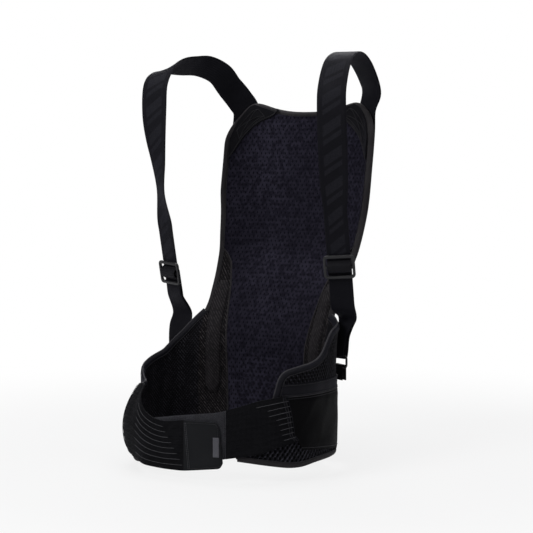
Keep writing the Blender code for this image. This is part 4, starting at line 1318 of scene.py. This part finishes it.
def webbing(name, places, across, outward, shares, width, thick, finish, body, stands=(),
            columns=20, cup=0.0, start=0.0, sink=0.0):
    n = len(places)
    u = np.linspace(-0.5, 0.5, columns + 1)
    selvedge = 1.0 + 0.16 * np.exp(-((np.abs(u) - 0.44) / 0.035) ** 2)
    edge = np.sqrt(np.clip(1.0 - (np.abs(u) / 0.5) ** 14, 0.03, 1.0)) * selvedge
    steps = np.linalg.norm(np.diff(places, axis=0), axis=1)
    run = start + np.concatenate([[0.0], np.cumsum(steps)])
    bend = cup * (u ** 2 - 0.08) + sink * np.exp(-(u / 0.16) ** 2)
    points, lays = [], []
    for face, sign in ((0.0, -1.0), (1.0, 1.0)):
        lift = bend + sign * thick / 2.0 * edge
        grid = (places[:, None] + across[:, None] * (u[None, :, None] * width * shares[:, None, None])
                + outward[:, None] * lift[None, :, None])
        points.append(grid)
        lays.append(np.stack(np.broadcast_arrays((u * width)[None, :], run[:, None], face), axis=-1))
    piece = addMesh(name, np.array(points), sheetFaces(n, columns + 1), np.array(lays), finish, body,
                    sharp=60.0)
    if stands:
        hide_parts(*stands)
    return piece


def ringPath(centre, run, across):
    half, height, corner = straps["ringWidth"] / 2.0, straps["ringHeight"], 0.004
    points = []
    for k in range(4):
        signX = (1.0, -1.0, -1.0, 1.0)[k]
        signY = (0.0, 0.0, 1.0, 1.0)[k]
        for j in range(7):
            turn = math.pi / 2.0 * (k + j / 6.0)
            x = signX * (half - corner) + corner * math.cos(turn)
            y = signY * height + (corner if signY < 0.5 else -corner) - corner * math.sin(turn)
            points.append(centre + across * x + run * y)
    return np.array(points)


def buildAnchor(name, centre, across, outward):
    down = np.array([0.0, 0.0, -1.0])
    across = unit(across - down * across.dot(down))
    outward = unit(outward - down * outward.dot(down))
    path = ringPath(centre, down, across)
    run = unit(np.roll(path, -1, axis=0) - np.roll(path, 1, axis=0))
    side = np.cross(run, outward)
    centres = np.stack([path, side, np.broadcast_to(outward, path.shape)], axis=1)
    sweepRing(name + "_ring", centres, roundProfile(straps["ringWire"], straps["ringWire"], 12),
              "mouldedPlastic", stands=(name + "_anchor_ring",), closed=True)
    hold = centre + down * straps["ringHeight"]
    wrap = straps["ringWire"] + 0.0013
    places, tilts = [], []
    for step in np.linspace(straps["tabReach"], 0.0, 20):
        places.append(hold + down * step + outward * wrap)
        tilts.append(outward)
    for angle in np.linspace(0.0, math.pi, 14)[1:-1]:
        tilt = outward * math.cos(angle) - down * math.sin(angle)
        places.append(hold + tilt * wrap)
        tilts.append(tilt)
    for step in np.linspace(0.0, straps["tabReach"], 20):
        places.append(hold + down * step - outward * wrap)
        tilts.append(-outward)
    places, tilts = np.array(places), np.array(tilts)
    tab = webbing(name + "_anchor_loop", places, np.broadcast_to(across, places.shape), tilts,
                  np.ones(len(places)), 0.022, 0.0013, "webbingCloth", "harness",
                  stands=(name + "_anchor_tab",), columns=14)
    rows = []
    lift = outward * (wrap + 0.0010)
    for step in (0.006, 0.009, 0.014, 0.0165):
        start = hold + down * step + lift - across * 0.0095
        end = hold + down * step + lift + across * 0.0095
        rows.append(np.vstack([np.append(start, outward), np.append(end, outward)]))
    stitches(name + "_anchor_stitching", rows, pitch=0.0026, length=0.0019, radius=0.0003)


def buildSlider(name, middle, across, run, outward):
    lift = straps["thick"] / 2.0 + 0.0004 + straps["sliderDepth"] / 2.0
    pose = Matrix((Vector(across), Vector(-run), Vector(outward))).transposed().to_4x4()
    pose.translation = Vector(middle + outward * lift)
    body = name + "_slider"
    bm = bmesh.new()
    bmesh.ops.create_cube(bm, size=1.0)
    size = (straps["sliderWidth"], straps["sliderHeight"], straps["sliderDepth"])
    bmesh.ops.scale(bm, vec=size, verts=bm.verts[:])
    upright = [e for e in bm.edges if abs(e.verts[0].co.z - e.verts[1].co.z) > 0.001]
    bmesh.ops.bevel(bm, geom=upright, offset=straps["sliderCorner"], segments=6, affect="EDGES",
                    profile=0.5)
    mesh = bpy.data.meshes.new(name + "_tri_glide")
    bm.to_mesh(mesh)
    bm.free()
    piece = bpy.data.objects.new(name + "_tri_glide", mesh)
    bpy.context.scene.collection.objects.link(piece)
    window = (straps["sliderHeight"] - 2.0 * straps["sliderBar"] - straps["windowGap"]) / 2.0
    opening = (straps["sliderWidth"] - straps["windowInset"], window, 0.02)
    for k in (-1.0, 1.0):
        cut = bmesh.new()
        bmesh.ops.create_cube(cut, size=1.0)
        bmesh.ops.scale(cut, vec=opening, verts=cut.verts[:])
        sides = [e for e in cut.edges if abs(e.verts[0].co.z - e.verts[1].co.z) > 0.001]
        bmesh.ops.bevel(cut, geom=sides, offset=straps["windowCorner"], segments=3, affect="EDGES",
                        profile=0.5)
        shift = k * (straps["windowGap"] / 2.0 + window / 2.0)
        bmesh.ops.translate(cut, vec=(0.0, shift, 0.0), verts=cut.verts[:])
        cutMesh = bpy.data.meshes.new("window")
        cut.to_mesh(cutMesh)
        cut.free()
        cutter = bpy.data.objects.new("window", cutMesh)
        bpy.context.scene.collection.objects.link(cutter)
        hole = piece.modifiers.new("window", "BOOLEAN")
        hole.solver = "EXACT"
        hole.object = cutter
        bpy.context.view_layer.update()
        graph = bpy.context.evaluated_depsgraph_get()
        shaped = bpy.data.meshes.new_from_object(piece.evaluated_get(graph))
        piece.modifiers.clear()
        piece.data = shaped
        bpy.data.objects.remove(cutter, do_unlink=True)
    piece.data.transform(pose)
    softened = piece.modifiers.new("soft edges", "BEVEL")
    softened.width = 0.0012
    softened.segments = 3
    softened.limit_method = "ANGLE"
    softened.angle_limit = math.radians(40.0)
    piece.data.materials.clear()
    piece.data.materials.append(finishes["mouldedPlastic"])
    piece.data.shade_smooth()
    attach(piece, body)
    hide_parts(name + "_slider_frame")
    reach = np.linspace(-1.0, 1.0, 40)
    arch = easeStep(1.0 - np.abs(reach), 0.0, 0.72)
    rise = straps["thick"] / 2.0 + 0.0011 + (straps["sliderDepth"] + 0.0022) * arch
    places = middle - np.outer(reach, run) * 0.0086 + np.outer(rise, outward)
    step = unit(np.gradient(places, axis=0))
    tilt = unit(np.cross(step, across))
    tilt = tilt * np.sign(tilt @ outward)[:, None]
    webbing(name + "_slider_turn", places, np.broadcast_to(across, places.shape), tilt,
            np.ones(40), 0.0322, 0.0016, "webbingCloth", body, stands=(name + "_slider_webbing",))


def buildStraps():
    for side, name in ((-1.0, "left"), (1.0, "right")):
        facts = straps[name]
        rows = smoothPath(strapRows(side, facts), 10)
        places, across, outward, shares, run = strapFrames(rows)
        down = run[-1]
        inward = -outward[-1]
        centre = places[-1] + inward * straps["turnRadius"]
        turned, tilts = [], []
        for angle in np.linspace(0.0, math.pi, 14)[1:-1]:
            tilts.append(unit(-inward * math.cos(angle) + down * math.sin(angle)))
            turned.append(centre + straps["turnRadius"] * tilts[-1])
        rise = places[:, 2] - places[-1, 2]
        back = np.flatnonzero(rise <= 0.0785)[::-1]
        back = back[back > len(places) // 2]
        depth = 2.0 * straps["turnRadius"]
        depth = depth + (straps["returnGap"] - depth) * easeStep(rise[back], 0.0, 0.05)
        returned = places[back] - outward[back] * depth[:, None]
        allPlaces = np.vstack([places, turned, returned])
        allAcross = np.vstack([across, np.repeat(across[-1:], len(turned), axis=0), across[back]])
        allOut = np.vstack([outward, tilts, -outward[back]])
        allShares = np.concatenate([shares, np.full(len(turned), shares[-1]), shares[back]])
        webbing(name + "_strap_webbing", allPlaces, allAcross, allOut, allShares, straps["width"],
                straps["thick"], "strapCloth", "harness", stands=(name + "_shoulder_strap",), columns=24)
        buildAnchor(name, centre, across[-1], outward[-1])
        top, low = np.array(facts["top"]), np.array(facts["low"])
        straight = unit(low - top)
        angle = math.radians(facts["facing"])
        wide = np.array([math.cos(angle), math.sin(angle), 0.0])
        wide = unit(wide - straight * wide.dot(straight))
        face = -unit(np.cross(wide, straight))
        middle = top + (low - top) * facts["share"]
        buildSlider(name, middle, wide, straight, face)
        end = middle - straight * 0.004
        first = returned[-1]
        steps = np.linspace(0.0, 1.0, 40)[:, None]
        tail = first * (1 - steps) + (end - face * straps["returnGap"]) * steps
        tailPiece = webbing(name + "_strap_tail", tail, np.broadcast_to(wide, tail.shape),
                            np.broadcast_to(face, tail.shape), np.full(40, 0.82), straps["width"],
                            straps["thick"], "webbingCloth", None, columns=20)
        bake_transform(tailPiece)
        strapStitching(name, places, across, outward)


def strapStitching(name, places, across, outward):
    # the crossed box that sews the strap's end to the cover
    half = straps["width"] * 0.38
    lift = 0.0013
    box = []
    a, b = 2, 22
    corners = [(a, -half), (a, half), (b, half), (b, -half)]
    for first, second in boxSides:
        (i, x), (j, y) = corners[first], corners[second]
        t = np.linspace(0.0, 1.0, 16)
        index = np.round(i + (j - i) * t).astype(int)
        shift = x + (y - x) * t
        place = places[index] + across[index] * shift[:, None] + outward[index] * lift
        box.append(np.hstack([place, outward[index]]))
    stitches(name + "_strap_end_stitching", box, finish="blackThread")


buildStraps()
print("straps built")


# studio

studio = {
    "azimuth": 30.0,
    "elevation": 4.0,
    "distance": 2.6,
    "aim": (0.0, 0.0, 0.12),
    "lens": 126.44,
    "floorDrop": 0.004,
    "air": 0.08,
    "paperGlow": 0.80,
    "paperFade": (0.35, 1.10),
    "lights": {
        "keySoftbox": ((-0.9, -2.6, 2.2), (0.0, -0.05, 0.12), (1.5, 1.5), 50.0),
        "fillSoftbox": ((2.6, -1.2, 1.3), (0.0, -0.05, 0.1), (1.2, 1.8), 10.0),
        "topSoftbox": ((0.0, 0.2, 2.8), (0.0, 0.0, 0.1), (2.4, 2.4), 58.0),
        "backSoftbox": ((-1.6, 2.2, 1.5), (0.0, 0.0, 0.15), (1.6, 1.6), 24.0),
    },
}


def lookAt(obj, target):
    direction = Vector(target) - obj.location
    obj.rotation_euler = direction.to_track_quat("-Z", "Y").to_euler()


def addLight(name, place, target, size, power):
    data = bpy.data.lights.new(name, "AREA")
    data.shape = "RECTANGLE"
    data.size, data.size_y = size
    data.energy = power
    lamp = bpy.data.objects.new(name, data)
    lamp.location = place
    bpy.context.scene.collection.objects.link(lamp)
    lookAt(lamp, target)


def buildFloor():
    low = cadBox[0][2] - studio["floorDrop"]
    bm = bmesh.new()
    bmesh.ops.create_grid(bm, x_segments=2, y_segments=2, size=6.0)
    mesh = bpy.data.meshes.new("floor")
    bm.to_mesh(mesh)
    bm.free()
    floor = bpy.data.objects.new("floor", mesh)
    floor.location = (0.0, 0.0, low)
    bpy.context.scene.collection.objects.link(floor)
    paper = bpy.data.materials.new("palePaper")
    paper.use_nodes = True
    tree = paper.node_tree
    shader = tree.nodes["Principled BSDF"]
    shader.inputs["Base Color"].default_value = (0.62, 0.62, 0.63, 1.0)
    shader.inputs["Roughness"].default_value = 0.9
    shader.inputs["Specular IOR Level"].default_value = 0.1
    glow = tree.nodes.new("ShaderNodeEmission")
    glow.inputs["Color"].default_value = (1.0, 1.0, 1.0, 1.0)
    place = tree.nodes.new("ShaderNodeTexCoord")
    length = tree.nodes.new("ShaderNodeVectorMath")
    length.operation = "LENGTH"
    tree.links.new(place.outputs["Object"], length.inputs[0])
    far = ramp(tree, length.outputs["Value"], *studio["paperFade"])
    share = maths(tree, "MULTIPLY_ADD", far, 1.0 - studio["paperGlow"], studio["paperGlow"])
    seenRays = tree.nodes.new("ShaderNodeLightPath")
    share = maths(tree, "MULTIPLY", share, seenRays.outputs["Is Camera Ray"])
    blend = tree.nodes.new("ShaderNodeMixShader")
    tree.links.new(share, blend.inputs[0])
    tree.links.new(shader.outputs[0], blend.inputs[1])
    tree.links.new(glow.outputs[0], blend.inputs[2])
    tree.links.new(blend.outputs[0], tree.nodes["Material Output"].inputs[0])
    mesh.materials.append(paper)


def buildAir():
    world = bpy.data.worlds.new("studioAir")
    world.use_nodes = True
    tree = world.node_tree
    seen = tree.nodes["Background"]
    seen.inputs["Color"].default_value = (1.0, 1.0, 1.0, 1.0)
    seen.inputs["Strength"].default_value = 1.0
    lit = tree.nodes.new("ShaderNodeBackground")
    lit.inputs["Color"].default_value = (0.95, 0.97, 1.0, 1.0)
    lit.inputs["Strength"].default_value = studio["air"]
    rays = tree.nodes.new("ShaderNodeLightPath")
    mix = tree.nodes.new("ShaderNodeMixShader")
    tree.links.new(rays.outputs["Is Camera Ray"], mix.inputs[0])
    tree.links.new(lit.outputs[0], mix.inputs[1])
    tree.links.new(seen.outputs[0], mix.inputs[2])
    tree.links.new(mix.outputs[0], tree.nodes["World Output"].inputs[0])
    bpy.context.scene.world = world
    bpy.context.scene.view_settings.view_transform = "Standard"


def buildCamera():
    data = bpy.data.cameras.new("camera")
    data.lens = studio["lens"]
    data.sensor_width = 36.0
    camera = bpy.data.objects.new("camera", data)
    turn, rise = math.radians(studio["azimuth"]), math.radians(studio["elevation"])
    back = Vector((math.sin(turn) * math.cos(rise), -math.cos(turn) * math.cos(rise), math.sin(rise)))
    camera.location = Vector(studio["aim"]) + back * studio["distance"]
    bpy.context.scene.collection.objects.link(camera)
    lookAt(camera, studio["aim"])
    bpy.context.scene.camera = camera


buildFloor()
buildAir()
for lamp, light in studio["lights"].items():
    addLight(lamp, *light)
buildCamera()
print("studio ready")
